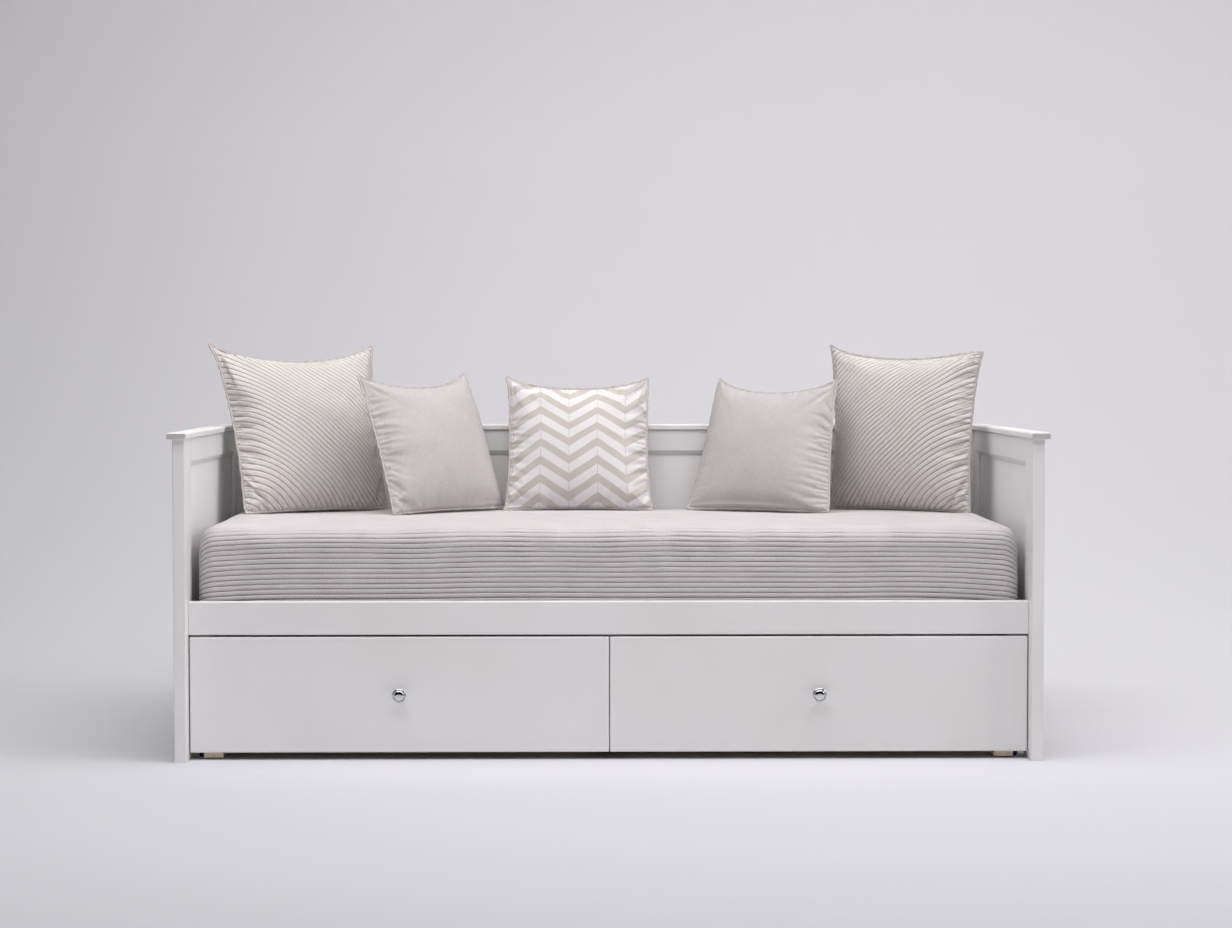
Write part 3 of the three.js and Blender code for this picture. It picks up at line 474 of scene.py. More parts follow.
def quads(ids):
    return np.stack([ids[:-1, :-1], ids[:-1, 1:], ids[1:, 1:], ids[1:, :-1]], -1).reshape(-1, 4)


def fan(pole, ring):
    # triangles from one point to each step of a ring of ids
    return [np.array([pole, ring[i], ring[i + 1]]) for i in range(len(ring) - 1)]


def meshObject(name, points, faces, finish, uv=None, marks=None, smooth=True):
    # uv gives two values for each corner of each face, marks one value for each point
    mesh = bpy.data.meshes.new(name)
    mesh.vertices.add(len(points))
    mesh.vertices.foreach_set("co", np.asarray(points, np.float32).ravel())
    sizes = np.array([len(f) for f in faces], np.int32)
    mesh.loops.add(int(sizes.sum()))
    mesh.loops.foreach_set("vertex_index", np.concatenate(faces).astype(np.int32))
    mesh.polygons.add(len(faces))
    mesh.polygons.foreach_set("loop_start", np.concatenate([[0], np.cumsum(sizes)[:-1]]).astype(np.int32))
    if uv is not None:
        layer = mesh.uv_layers.new(name="cloth")
        layer.data.foreach_set("uv", np.asarray(uv, np.float32).ravel())
    for mark, values in (marks or {}).items():
        mesh.attributes.new(mark, "FLOAT", "POINT").data.foreach_set("value", np.asarray(values, np.float32).ravel())
    mesh.update(calc_edges=True)
    mesh.validate()
    mesh.polygons.foreach_set("use_smooth", [smooth] * len(mesh.polygons))
    mesh.materials.append(finishes[finish])
    return sceneObject(name, mesh)


# Sizes in millimetres. gather gives how strongly each seam puckers: left, right, top and foot.
cushions = {
    "cushion_left_large": {
        "size": (450, 455, 168), "offCentre": -799, "beforeBack": 150, "aboveMattress": 215, "turn": 33, "tilt": 17.5,
        "taper": -0.05, "cloth": "quiltedLinen", "lean": 1, "gather": (1.1, 0.5, 0.5, 0.6), "seed": 11,
        "drawTop": 0.17, "ears": ((-1, 1, 0.055, 0.055, 16), (-1, -1, -0.01, -0.01, 10), (1, 1, 0.01, 0.04, 10),
                                  (1, -1, -0.03, -0.03, 8))},
    "cushion_left_small": {
        "size": (402, 378, 128), "offCentre": -460, "beforeBack": 193, "aboveMattress": 177, "turn": 46.5, "tilt": 20.5,
        "taper": 0.0, "cloth": "plainLinen", "gather": (1.0, 0.2, 0.3, 0.5), "seed": 23,
        "drawTop": 0.16, "ears": ((-1, 1, 0.02, 0.035, 10), (-1, -1, 0.0, 0.0, 12), (1, 1, -0.08, 0.075, 3),
                                  (1, -1, 0.06, -0.02, 3))},
    "cushion_centre": {
        "size": (388, 360, 128), "offCentre": -75, "beforeBack": 80, "aboveMattress": 171, "turn": 0, "tilt": 14,
        "taper": 0.016, "cloth": "chevronCotton", "gather": (0.8, 1.2, 0.7, 0.5), "seed": 37,
        "drawTop": 0.13, "ears": ((-1, 1, 0.03, 0.07, 12), (-1, -1, 0.03, 0.0, 14), (1, 1, 0.0, 0.055, 8),
                                  (1, -1, 0.03, 0.0, 14))},
    "cushion_right_small": {
        "size": (378, 368, 128), "offCentre": 429, "beforeBack": 135, "aboveMattress": 169, "turn": -26, "tilt": 21,
        "taper": 0.08, "cloth": "plainLinen", "gather": (0.2, 1.2, 0.3, 0.5), "seed": 41,
        "drawTop": 0.17, "ears": ((-1, 1, -0.02, 0.07, 6), (-1, -1, 0.02, -0.02, 7), (1, 1, 0.02, 0.06, 7),
                                  (1, -1, -0.02, -0.01, 12))},
    "cushion_right_large": {
        "size": (450, 434, 168), "offCentre": 788, "beforeBack": 150, "aboveMattress": 213, "turn": -37.5, "tilt": 4.2,
        "taper": -0.03, "cloth": "quiltedLinen", "lean": -1, "gather": (0.5, 1.1, 0.5, 0.6), "seed": 53,
        "drawTop": 0.12, "ears": ((-1, 1, 0.02, 0.065, 9), (-1, -1, -0.02, -0.03, 8), (1, 1, 0.015, -0.03, 6),
                                  (1, -1, -0.01, -0.01, 12))},
}
plainForm = {"drawSide": 0.035, "drawFoot": 0.03, "crownPower": 0.47, "columns": 72, "rows": 68, "finer": 2}
channelledForm = {"drawSide": 0.07, "drawFoot": 0.03, "crownPower": 0.5, "columns": 84, "rows": 76,
                  "finer": 3, "pitch": 11.8, "depth": 1.7, "wander": 2.8, "sharpness": 0.38,
                  "bend": 0.62, "bendReach": 0.26, "plainShare": 0.03, "seamDepth": 0.55}
filling = {"cut": 1.055, "frames": 36, "drawnIn": 16, "pressure": 45.0, "tension": 15.0, "shear": 5.0, "bending": 0.35,
           "slump": 0.05, "meanRadius": 7.0, "reach": 30.0, "loose": 4.0, "uneven": 1.5, "gatherReach": (0.2, 0.18)}


def formOf(shape):
    return {**(channelledForm if "lean" in shape else plainForm), **shape}


def faceOf(shape, u, v, side):
    # the stuffed form: the sides pull in between the rounded corners and the crown falls to the seam
    width, height, thickness = (s * mm for s in shape["size"])
    width, height = width - 2 * seam["width"] * mm, height - 2 * seam["width"] * mm
    draw = np.where(v > 0, shape["drawTop"], shape["drawFoot"])
    # each corner is pulled out to an ear or rounded in: its side, how far across and up, how locally
    wide = tall = np.ones(np.broadcast(u, v).shape)
    for left, up, across, upward, power in shape["ears"]:
        near = np.clip(u * left, 0, 1) ** power * np.clip(v * up, 0, 1) ** power
        wide, tall = wide + across * near, tall + upward * near
    x = width / 2 * u * (1 - shape["taper"] * v) * (1 - shape["drawSide"] * (1 - v * v)) * wide
    z = height / 2 * v * (1 - draw * (1 - u * u)) * tall
    crown = np.clip((1 - u * u) * (1 - v * v), 0, 1) ** shape["crownPower"]
    return np.stack([x, side * thickness / 2 * crown, z], -1)


def bagGrid(shape):
    # closer lines near the seams
    def spread(count):
        t = np.linspace(-1, 1, count + 1)
        return 0.3 * np.sin(t * math.pi / 2) + 0.7 * t
    return np.meshgrid(spread(shape["columns"]), spread(shape["rows"]))


def sharedIds(rows, columns):
    # the ids of a front and a back that share their border, and the faces of both
    front = np.arange(rows * columns).reshape(rows, columns)
    inner = np.zeros((rows, columns), bool)
    inner[1:-1, 1:-1] = True
    back = front.copy()
    back[inner] = rows * columns + np.arange(inner.sum())
    return front, back, inner, np.concatenate([quads(front), quads(back)[:, ::-1]])


def bagPoints(pair, inner):
    return np.concatenate([pair[0].reshape(-1, 3), pair[1][inner]])


def border(grid, inset=0):
    # once round the grid, the corners taken once
    return np.concatenate([grid[inset, :-1], grid[:-1, -1 - inset], grid[-1 - inset, :0:-1], grid[:0:-1, inset]])


def bagVolume(points, faces):
    # positive where the faces look outwards
    a, b, c, d = (points[faces[:, i]] - points.mean(0) for i in range(4))
    return np.einsum("ij,ij->", a, np.cross(b, c) + np.cross(c, d)) / 6


def sewAndFill(name, shape, u, v):
    # a flat bag whose seam is drawn in to the cushion's outline while it is filled to its volume
    front, back, inner, faces = sharedIds(*u.shape)
    width, height, _ = (s * mm * filling["cut"] for s in shape["size"])
    loose = (1 - u * u) * (1 - v * v)
    uneven = filling["uneven"] * mm * waves(u, v, shape["seed"], 4, 22) * np.sqrt(loose)
    apart = filling["loose"] * mm * loose
    flat = [np.stack([u * width / 2, side * apart + uneven, v * height / 2], -1) for side in (-1, 1)]
    goal = bagPoints([faceOf(shape, u, v, side) for side in (-1, 1)], inner)
    bag = meshObject(f"{name}_bag", bagPoints(flat, inner), faces, shape["cloth"])
    bag.shape_key_add(name="Basis")
    sewn = bag.shape_key_add(name="sewn")
    sewn.data.foreach_set("co", goal.astype(np.float32).ravel())
    for value, at in ((0.0, 1), (1.0, filling["drawnIn"])):
        sewn.value = value
        sewn.keyframe_insert("value", frame=at)
    bag.vertex_groups.new(name="seam").add(front[~inner].tolist(), 1.0, "REPLACE")
    cloth = bag.modifiers.new("cloth", "CLOTH")
    settings = {"quality": 5, "mass": 0.3, "tension_stiffness": filling["tension"],
                "compression_stiffness": filling["tension"], "shear_stiffness": filling["shear"],
                "bending_stiffness": filling["bending"], "use_pressure": True, "uniform_pressure_force": 0.0,
                "use_pressure_volume": True, "target_volume": abs(bagVolume(goal, faces)),
                "pressure_factor": filling["pressure"], "vertex_group_mass": "seam"}
    for key, value in settings.items():
        setattr(cloth.settings, key, value)
    cloth.settings.effector_weights.gravity = 0
    cloth.collision_settings.use_collision = False
    cloth.point_cache.frame_end = filling["frames"]
    for step in range(1, filling["frames"] + 1):
        bpy.context.scene.frame_set(step)
    shown = bag.evaluated_get(bpy.context.evaluated_depsgraph_get()).data
    filled = np.zeros(len(shown.vertices) * 3)
    shown.vertices.foreach_get("co", filled)
    filled = filled.reshape(-1, 3)
    bpy.data.objects.remove(bag)
    bpy.context.scene.frame_set(1)
    return [filled[front], filled[back]]


def gatherShare(shape, u, v):
    # how much of the cloth's own puckers stays, by the nearest seam
    left, right, top, foot = shape["gather"]
    aside, above = filling["gatherReach"]
    nearness = [np.exp(-(1 + s) / reach) for s, reach in ((u, aside), (-u, aside), (-v, above), (v, above))]
    total = sum(nearness)
    return sum(n * g for n, g in zip(nearness, (left, right, top, foot))) / total * np.clip(total * 1.6 - 0.1, 0, 1)


def channelProfile(turns, sharpness):
    # 0 in the stitched line and 1 on the ridge between two lines
    return np.abs(np.sin(math.pi * turns)) ** sharpness


def cushionPose(shape):
    place = Vector((shape["offCentre"] * mm, backFace - shape["beforeBack"] * mm,
                    mattressHigh.z + shape["aboveMattress"] * mm))
    turn = Matrix.Rotation(math.radians(shape["turn"]), 4, "Z") @ Matrix.Rotation(-math.radians(shape["tilt"]), 4, "X")
    return Matrix.Translation(place) @ turn


def posed(points, matrix):
    m = np.array(matrix)
    return points @ m[:3, :3].T + m[:3, 3]


coverlet = {
    "topRadius": 45.0, "footRadius": 14.0, "crown": 2.0, "pitch": 12.2, "depth": 2.7, "wander": 1.7,
    "columnPitch": 9.0, "rowsPerChannel": 6, "endRings": 12, "cornerColumns": 11,
    "dentDepth": 1.5, "dentReach": 80.0, "dentHalf": 0.42, "dentEdge": 18.0, "gap": 0.6, "sharpness": 0.32,
    "topShare": 0.04, "droop": 13.0, "droopReach": 330.0, "waver": 1.1, "pucker": 2.0, "uneven": 1.6,
    "upperRow": 190.0, "heldFoot": 50.0, "heldUnder": 300.0, "levelFrom": 40.0, "backRows": 240.0, "endReach": 200.0,
}
# across and up in millimetres, the seed, and the fewest and most turns in such a step
coverWaves = {"wander": (200, 120, 83, 0.5, 3), "waver": (90, 60, 89, 0.6, 2.5), "uneven": (250, 250, 71, 1, 4),
              "crinkle": (22, 30, 97, 0.6, 2.2)}


def dentDepth(x, y):
    # the mattress gives a little under the foot of each cushion
    deepest = np.zeros(np.broadcast(x, y).shape)
    for shape in cushions.values():
        width, height, _ = (s * mm for s in shape["size"])
        pose = cushionPose(shape)
        foot = pose @ Vector((0, 0, -height / 2))
        run = pose.to_3x3() @ Vector((1, 0, 0))
        along = (x - foot.x) * run.x + (y - foot.y) * run.y
        across = -(x - foot.x) * run.y + (y - foot.y) * run.x
        share = np.exp(-(across / (coverlet["dentReach"] * mm)) ** 2)
        share = share / (1 + np.exp((np.abs(along) - coverlet["dentHalf"] * width) / (coverlet["dentEdge"] * mm)))
        deepest = np.maximum(deepest, share)
    return deepest * coverlet["dentDepth"] * mm


def coverTop(x, y):
    half = mattressDepth / 2 - coverlet["topRadius"] * mm
    share = np.clip((y - mattressMiddle) / half, -1, 1)
    return mattressHigh.z - coverlet["crown"] * mm * share * share - dentDepth(x, y)


# how softly a cushion gives on what it touches, and how far above the caps it is free again
pressing = {"soft": 2.5, "above": 4.0, "fade": 3.0}


def pressed(points):
    # what a cushion stands on or leans against flattens it
    gap = coverlet["gap"] * mm
    soft = pressing["soft"] * mm
    rest = coverTop(points[..., 0], points[..., 1]) + gap
    over = (points[..., 2] - rest) / soft
    lifted = rest + soft * np.where(over > 20, over, np.log1p(np.exp(np.minimum(over, 20))))
    out = points.copy()
    out[..., 2] = np.where(over > 8, points[..., 2], lifted)
    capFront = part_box("back_cap")[0].y - gap
    leaning = 1 / (1 + np.exp((out[..., 2] - capTop - pressing["above"] * mm) / (pressing["fade"] * mm)))
    past = np.maximum(out[..., 1] - capFront, 0)
    out[..., 1] -= past * leaning
    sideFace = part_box("right_end_cap")[0].x - gap
    beyond = np.maximum(np.abs(out[..., 0]) - sideFace, 0)
    out[..., 0] -= np.sign(out[..., 0]) * beyond * leaning
    return out


def buildCushion(name):
    shape = formOf(cushions[name])
    width, height, _ = (s * mm for s in shape["size"])
    u, v = bagGrid(shape)
    full = [faceOf(shape, u, v, side) for side in (-1, 1)]
    filled = sewAndFill(name, shape, u, v)
    share = gatherShare(shape, u, v)[..., None]
    for i in (0, 1):
        change = filled[i] - full[i]
        slump = softened(change, filling["meanRadius"])
        change = slump * filling["slump"] + (change - slump) * share
        length = np.linalg.norm(change, axis=-1, keepdims=True)
        change *= np.minimum(1, filling["reach"] * mm / np.maximum(length, 1e-9))
        full[i] = full[i] + change
    finer = shape["finer"]
    fine = [refined(face, finer) for face in full]
    fu, fv = refined(u[..., None], finer)[..., 0], refined(v[..., None], finer)[..., 0]
    flatX, flatZ = fu * width / 2 * filling["cut"], fv * height / 2 * filling["cut"]
    front, back, inner, faces = sharedIds(*fu.shape)
    marks = None
    if "lean" in shape:
        # the channels run at 45 degrees and bend level towards the outer seam
        run = flatX * shape["lean"]
        bend = shape["bendReach"] * width
        bent = run + shape["bend"] * bend * np.exp(-(run + width / 2) / bend)
        diagonal = (bent + flatZ) / math.sqrt(2) + 40 * shape["pitch"] * mm
        wander = shape["wander"] * mm * waves(fu, fv, shape["seed"] + 5, 2, 9)
        turns = (diagonal + wander) / (shape["pitch"] * mm)
        profile = channelProfile(turns, shape["sharpness"])
        nearSeam = np.clip((1 - np.maximum(np.abs(fu), np.abs(fv))) / shape["plainShare"], 0, 1)
        for i, outward in ((0, 1), (1, -1)):
            sunk = outward * shape["depth"] * mm * (1 - profile) * nearSeam
            fine[i] = fine[i] - gridNormals(fine[i]) * sunk[..., None]
        depths = shape["seamDepth"] + (1 - shape["seamDepth"]) * nearSeam
        marks = {key: np.concatenate([m.ravel(), m[inner]]) for key, m in (("channel", turns), ("depth", depths))}
    points = pressed(posed(bagPoints(fine, inner), cushionPose(shape)))
    flat = np.stack([flatX, flatZ], -1).reshape(-1, 2)
    backFlat = flat * [-1, 1] + [width * 1.5, 0]
    uv = np.concatenate([flat[quads(front).ravel()], backFlat[quads(front)[:, ::-1].ravel()]])
    obj = meshObject(name.replace("cushion", "stuffed_cushion"), points, faces, shape["cloth"], uv, marks)
    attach(obj, "frame")
    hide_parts(name)
    # the seam runs round the border, and outward is where its neighbour inside points away from
    ring, inward = border(front), border(front, 1)
    outward = points[ring] - (points[inward] + points[back.ravel()[inward]]) / 2
    sewSeam(name, shape, points[ring], outward)
    stitchSeam(name, points[front])


def ringWaves(count, length, seed):
    # a closed line's own unevenness: only whole waves, so that its ends meet
    rng = np.random.default_rng(seed)
    low, high = length / (seam["longest"] * mm), length / (seam["shortest"] * mm)
    turns = rng.integers(int(low), int(high), seam["waves"])
    phases = rng.uniform(0, 2 * math.pi, seam["waves"])
    t = np.linspace(0, 2 * math.pi, count, endpoint=False)
    return sum(np.sin(n * t + p) for n, p in zip(turns, phases)) / math.sqrt(seam["waves"])


def seamBand(name, path, outward, side, width, sway, run, spec):
    # a folded edge along a path: three lines out on one face and three back on the other
    thick, tuck, halfway, rim = spec["thick"] * mm / 2, -spec["tuck"] * mm, spec["halfway"], spec["rim"]
    section = [(tuck, 0, -thick), (0.5 * width, halfway, -thick), (width, 1, -rim * thick),
               (width, 1, rim * thick), (0.5 * width, halfway, thick), (tuck, 0, thick)]
    grid = np.stack([path + outward * out + side * (sway * lift + off) for out, lift, off in section], 1)
    ids = tubeIds(*grid.shape[:2])
    faces = quads(np.concatenate([ids, ids[:1]]) if spec["closed"] else ids)
    points = grid.reshape(-1, 3)
    caps = [] if spec["closed"] else [ids[0, -2::-1], ids[-1, :-1]]
    if bagVolume(points, faces) < 0:
        faces = faces[:, ::-1]
        caps = [cap[::-1] for cap in caps]
    across = np.array([0, 0.5, 1, 1, 0.5, 0]) * seam["width"] * mm
    flat = np.stack(np.broadcast_arrays(run[:, None], across[None, :]), -1).reshape(-1, 2)
    faces = [f for f in faces] + caps
    return meshObject(name, points, faces, "seamTape", flat[np.concatenate(faces)])


def sewSeam(name, shape, ring, outward):
    # the narrow, slightly ruffled seam allowance that stands out all round
    run = runOf(np.concatenate([ring, ring[:1]]))
    tangent = np.roll(ring, -1, 0) - np.roll(ring, 1, 0)
    tangent /= np.linalg.norm(tangent, axis=1, keepdims=True)
    outward = outward - tangent * np.sum(outward * tangent, 1, keepdims=True)
    outward /= np.linalg.norm(outward, axis=1, keepdims=True)
    for _ in range(seam["smoothings"]):
        outward = (np.roll(outward, 1, 0) + outward + np.roll(outward, -1, 0)) / 3
    # where it would dip into the coverlet it turns forward instead
    forward = np.array(cushionPose(shape).to_3x3() @ Vector((0, -1, 0)))
    forward[2] = 0
    room = ring[:, 2] - coverTop(ring[:, 0], ring[:, 1])
    low = np.clip(1 - room / (seam["turnsWithin"] * mm), 0, 1)[:, None]
    outward = outward * (1 - low) + forward * low + np.array([0, 0, 0.15]) * low
    outward /= np.linalg.norm(outward, axis=1, keepdims=True)
    side = np.cross(tangent, outward)
    wave = (seam["ruffle"] * mm * ringWaves(len(ring), run[-1], shape["seed"] + 1))[:, None]
    width = (seam["width"] * mm * (1 + seam["waver"] * ringWaves(len(ring), run[-1], shape["seed"] + 2)))[:, None]
    obj = seamBand(name.replace("cushion", "seam_of_cushion"), ring, outward, side, width, wave * (1 - low), run[:-1],
                   {**seam, "rim": 0.7, "closed": True})
    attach(obj, "frame")


def startTree(name, start, sizes, material):
    tree = bpy.data.node_groups.new(name, "GeometryNodeTree")
    kinds = {start: "Geometry", **{label: "Float" for label in sizes}, material: "Material"}
    for label, kind in kinds.items():
        tree.interface.new_socket(label, in_out="INPUT", socket_type=f"NodeSocket{kind}")
    tree.interface.new_socket("grown", in_out="OUTPUT", socket_type="NodeSocketGeometry")
    add = partial(addNode, tree)
    return tree, add, add("NodeGroupInput").outputs


def finishTree(add, placed, material):
    real = add("GeometryNodeRealizeInstances", placed)
    dressed = add("GeometryNodeSetMaterial", {"Geometry": real, "Material": material})
    add("NodeGroupOutput", dressed)


def stitchTree():
    # short raised stitches at an even spacing along a closed line
    tree, add, given = startTree("seamStitches", "line", ("spacing", "length", "thickness"), "thread")
    line = add("GeometryNodeMeshToCurve", given["line"])
    even = add("GeometryNodeResampleCurve", {"Curve": line, "Length": given["spacing"]}, mode="LENGTH")
    along = add("FunctionNodeAlignEulerToVector", {"Vector": add("GeometryNodeInputTangent")}, axis="X")
    bead = add("GeometryNodeMeshUVSphere", {"Segments": 6, "Rings": 5, "Radius": 0.5})
    size = add("CombineXYZ", given["length"], given["thickness"], given["thickness"])
    placed = add("GeometryNodeInstanceOnPoints", {"Points": even, "Instance": bead, "Rotation": along, "Scale": size})
    finishTree(add, placed, given["thread"])
    return tree


def grownMesh(name, start, tree, values):
    # runs a tree on an object and keeps the result as a plain mesh
    modifier = start.modifiers.new("grown", "NODES")
    modifier.node_group = tree
    for item in tree.interface.items_tree:
        if item.in_out == "INPUT" and item.name in values:
            modifier[item.identifier] = values[item.name]
    shown = start.evaluated_get(bpy.context.evaluated_depsgraph_get())
    mesh = bpy.data.meshes.new_from_object(shown)
    bpy.data.objects.remove(start)
    mesh.name = name
    return sceneObject(name, mesh)


def stitchSeam(name, grid):
    k = seam["stitchInset"]
    loop = border(grid[k:-k, k:-k])
    mesh = bpy.data.meshes.new("stitch_line")
    mesh.from_pydata(loop.tolist(), [(i, (i + 1) % len(loop)) for i in range(len(loop))], [])
    obj = grownMesh(name.replace("cushion", "stitches_of_cushion"), sceneObject("stitch_line", mesh), stitchLines,
                    {"spacing": seam["stitchSpacing"] * mm, "length": seam["stitchLength"] * mm,
                     "thickness": seam["stitchThick"] * mm, "thread": finishes["thread"]})
    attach(obj, "frame")


stitchLines = stitchTree()
for cushionName in cushions:
    buildCushion(cushionName)
    print("cushion made:", cushionName)


def coverSection():
    # the cut through the bed's depth: up the front, over the top, down the back and under
    half, height = mattressDepth / 2, mattressHeight
    top, foot, crown = (coverlet[k] * mm for k in ("topRadius", "footRadius", "crown"))
    quarter = np.linspace(0, math.pi / 2, 40)
    arcs = []
    arcs += [(-half + foot * (1 - math.sin(a)), foot * (1 - math.cos(a))) for a in quarter]
    arcs += [(-half + top * (1 - math.cos(a)), height - crown - top + top * math.sin(a)) for a in quarter]
    arcs += [(y, height - crown * (y / (half - top)) ** 2) for y in np.linspace(-half + top, half - top, 90)[1:-1]]
    arcs += [(half - top + top * math.sin(a), height - crown - top + top * math.cos(a)) for a in quarter]
    arcs += [(half - foot * (1 - math.cos(a)), foot * (1 - math.sin(a))) for a in quarter]
    arcs.append(arcs[0])
    arcs = np.array(arcs)
    return arcs, runOf(arcs)


def coverRuns(total):
    # rows of points stand on every channel's line, so close ones where channels show
    pitch = coverlet["pitch"] * mm
    front = mattressHeight + mattressDepth - coverlet["levelFrom"] * mm
    fine = np.arange(0, int(front / pitch) * pitch, pitch / coverlet["rowsPerChannel"])
    back = np.arange(fine[-1] + pitch / 2, fine[-1] + coverlet["backRows"] * mm, pitch / 2)
    under = np.linspace(back[-1], total, 30)[1:-1]
    return np.concatenate([fine, back, under])


def coverWave(kind, x, down):
    across, up, *rest = coverWaves[kind]
    return waves(x / (across * mm), down / (up * mm), *rest)


def upperRows(down, reach, least):
    # strongest in the row of channels under the front edge
    return np.exp(-((down - coverlet["upperRow"] * mm) / (reach * mm)) ** 2) + least


def buildCoverlet():
    arcs, arcRun = coverSection()
    total = arcRun[-1]
    runs = coverRuns(total)
    down = runs[None, :]
    half, depth, height = mattressWidth / 2, mattressDepth, mattressHeight
    top = coverlet["topRadius"] * mm
    angles = np.linspace(0, math.pi / 2, coverlet["cornerColumns"])
    corner = [(half - top + top * math.cos(a), top * (1 - math.sin(a)), 0.0) for a in angles]
    count = int((2 * half - 2 * top) / (coverlet["columnPitch"] * mm))
    middle = [(x, 0.0, 0.0) for x in np.linspace(-half + top, half - top, count)[1:-1]]
    rings = [(half, top, k) for k in np.linspace(0.97, 0, coverlet["endRings"])[:-1]]
    stations = [(-x, i, k) for x, i, k in rings + corner] + middle + [(x, i, k) for x, i, k in (rings + corner)[::-1]]
    x, inset, shrink = (np.array(stations)[:, i][:, None] for i in range(3))
    # the channels wander a little and dip towards the ends, and the rows of points go with them
    reach = coverlet["droopReach"] * mm
    fromEnd = np.clip((np.abs(x) - half + reach) / reach, 0, 1)
    held = np.clip(down / (coverlet["heldFoot"] * mm), 0, 1)
    held = held * np.clip((total - down) / (coverlet["heldUnder"] * mm), 0, 1)
    wander = coverlet["wander"] * mm * coverWave("wander", x, down)
    wander = wander + coverlet["waver"] * mm * upperRows(down, 50, 0.3) * coverWave("waver", x, down)
    shifted = down - (wander + coverlet["droop"] * mm * fromEnd**2) * held * (1 - shrink)
    y = np.interp(shifted, arcRun, arcs[:, 0])
    z = np.interp(shifted, arcRun, arcs[:, 1])
    y = y * (1 - 2 * inset / depth) * (1 - shrink)
    z = height / 2 + (z * (1 - inset / height) - height / 2) * (1 - shrink)
    grid = np.stack([np.broadcast_to(x, y.shape), y + mattressMiddle, z + mattressLow.z], -1)
    onTop = np.clip((z / height - 0.8) / 0.15, 0, 1)
    grid[..., 2] -= dentDepth(grid[..., 0], grid[..., 1]) * onTop
    normals = -gridNormals(np.concatenate([grid, grid[:, :1]], 1))[:, :-1]
    # washed flat where the cloth lies level, full where it hangs, and plain on the hidden ends; the painted shade in
    # the grooves follows the same share
    lying = 1 - (1 - coverlet["topShare"]) * np.clip(normals[..., 2] * 1.04, 0, 1) ** 1.5
    body = (1 - np.clip(shrink * 6, 0, 1)) * np.ones(y.shape)
    turns = runs / (coverlet["pitch"] * mm)
    profile = np.broadcast_to(channelProfile(turns, coverlet["sharpness"])[None, :], y.shape)
    uneven = coverWave("uneven", x, down)
    # the upper rows crinkle across, where the quilting was drawn up in the wash
    crinkle = coverWave("crinkle", x, down) * upperRows(down, 55, 0.25)
    shift = (coverlet["uneven"] * mm * uneven - coverlet["depth"] * mm * lying * (1 - profile)) * body
    shift = shift + coverlet["pucker"] * mm * crinkle * profile * body * 0.5
    grid = grid + normals * shift[..., None]
    across, around = grid.shape[:2]
    wrapped = tubeIds(across, around)
    left, right = across * around, across * around + 1
    fans = fan(left, wrapped[0]) + [f[[0, 2, 1]] for f in fan(right, wrapped[-1])]
    faces = [f for f in quads(wrapped)[:, ::-1]] + fans
    points = np.concatenate([grid.reshape(-1, 3), [grid[0].mean(0), grid[-1].mean(0)]])
    endReach = coverlet["endReach"] * mm
    flatX = np.broadcast_to(x + np.sign(x) * (inset + shrink * endReach), y.shape)
    flat = np.stack([flatX, np.broadcast_to(down, y.shape)], -1).reshape(-1, 2)
    flat = np.concatenate([flat, [[-half - endReach, 0], [half + endReach, 0]]])
    channel = np.concatenate([np.broadcast_to(turns[None, :], y.shape).ravel(), [0.5, 0.5]])
    shown = np.concatenate([(lying * body).ravel(), [0, 0]])
    obj = meshObject("channelled_coverlet", points, faces, "coverlet", flat[np.concatenate(faces)],
                     {"channel": channel, "depth": shown})
    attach(obj, "frame")
    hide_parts("mattress")
    print("coverlet made:", len(points), "points")
    return grid, stations


coverGrid, coverStations = buildCoverlet()
cornerSeam = {"width": 7.0, "thick": 1.6, "ruffle": 3.2, "shortest": 26.0, "longest": 70.0, "from": 12.0, "tuck": 2.0,
              "halfway": 0.4, "rim": 0.6, "closed": False, "waves": 10, "points": 110, "fade": 30.0, "waver": 0.2,
              "lean": (0.72, 0.69)}


def buildCornerSeam(side, front):
    # the ruffled allowance that stands out of the upright corner seams of the coverlet
    stations = np.array(coverStations)
    at = np.argmin(np.abs(stations[:, 0] - side * stations[:, 0].max() * 0.9925) + stations[:, 2] * 9)
    line = coverGrid[at]
    frontHalf = line[:, 1] < mattressMiddle if front else line[:, 1] > mattressMiddle
    bend = coverlet["topRadius"] * mm * 0.35
    upright = frontHalf & (line[:, 2] > mattressLow.z + cornerSeam["from"] * mm) & (line[:, 2] < mattressHigh.z - bend)
    path = line[upright]
    path = path[np.argsort(path[:, 2])]
    run = runOf(path)
    even = np.linspace(0, run[-1], cornerSeam["points"])
    path = np.stack([np.interp(even, run, path[:, i]) for i in range(3)], 1)
    path = np.stack([np.convolve(np.pad(path[:, i], 4, mode="edge"), np.ones(9) / 9, "valid") for i in range(3)], 1)
    rng = np.random.default_rng(200 + side + 2 * front)
    turns = even[-1] / (rng.uniform(cornerSeam["shortest"], cornerSeam["longest"], cornerSeam["waves"]) * mm)
    phases = rng.uniform(0, 2 * math.pi, cornerSeam["waves"])
    t = even / even[-1] * 2 * math.pi
    wave = sum(np.sin(n * t + p) for n, p in zip(turns, phases)) / math.sqrt(cornerSeam["waves"])
    taper = np.clip(np.minimum(even, even[-1] - even) / (cornerSeam["fade"] * mm), 0.15, 1)
    aside, forward = cornerSeam["lean"]
    way = -1 if front else 1
    outward = np.array([side * aside, way * forward, 0.0])
    across = np.array([side * forward, -way * aside, 0.0])
    width = (cornerSeam["width"] * mm * (1 + cornerSeam["waver"] * np.roll(wave, 17)) * taper)[:, None]
    sway = (cornerSeam["ruffle"] * mm * wave * taper)[:, None]
    obj = seamBand(f"corner_seam_{'left' if side < 0 else 'right'}_{'front' if front else 'rear'}", path, outward,
                   across, width, sway, even, cornerSeam)
    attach(obj, "frame")


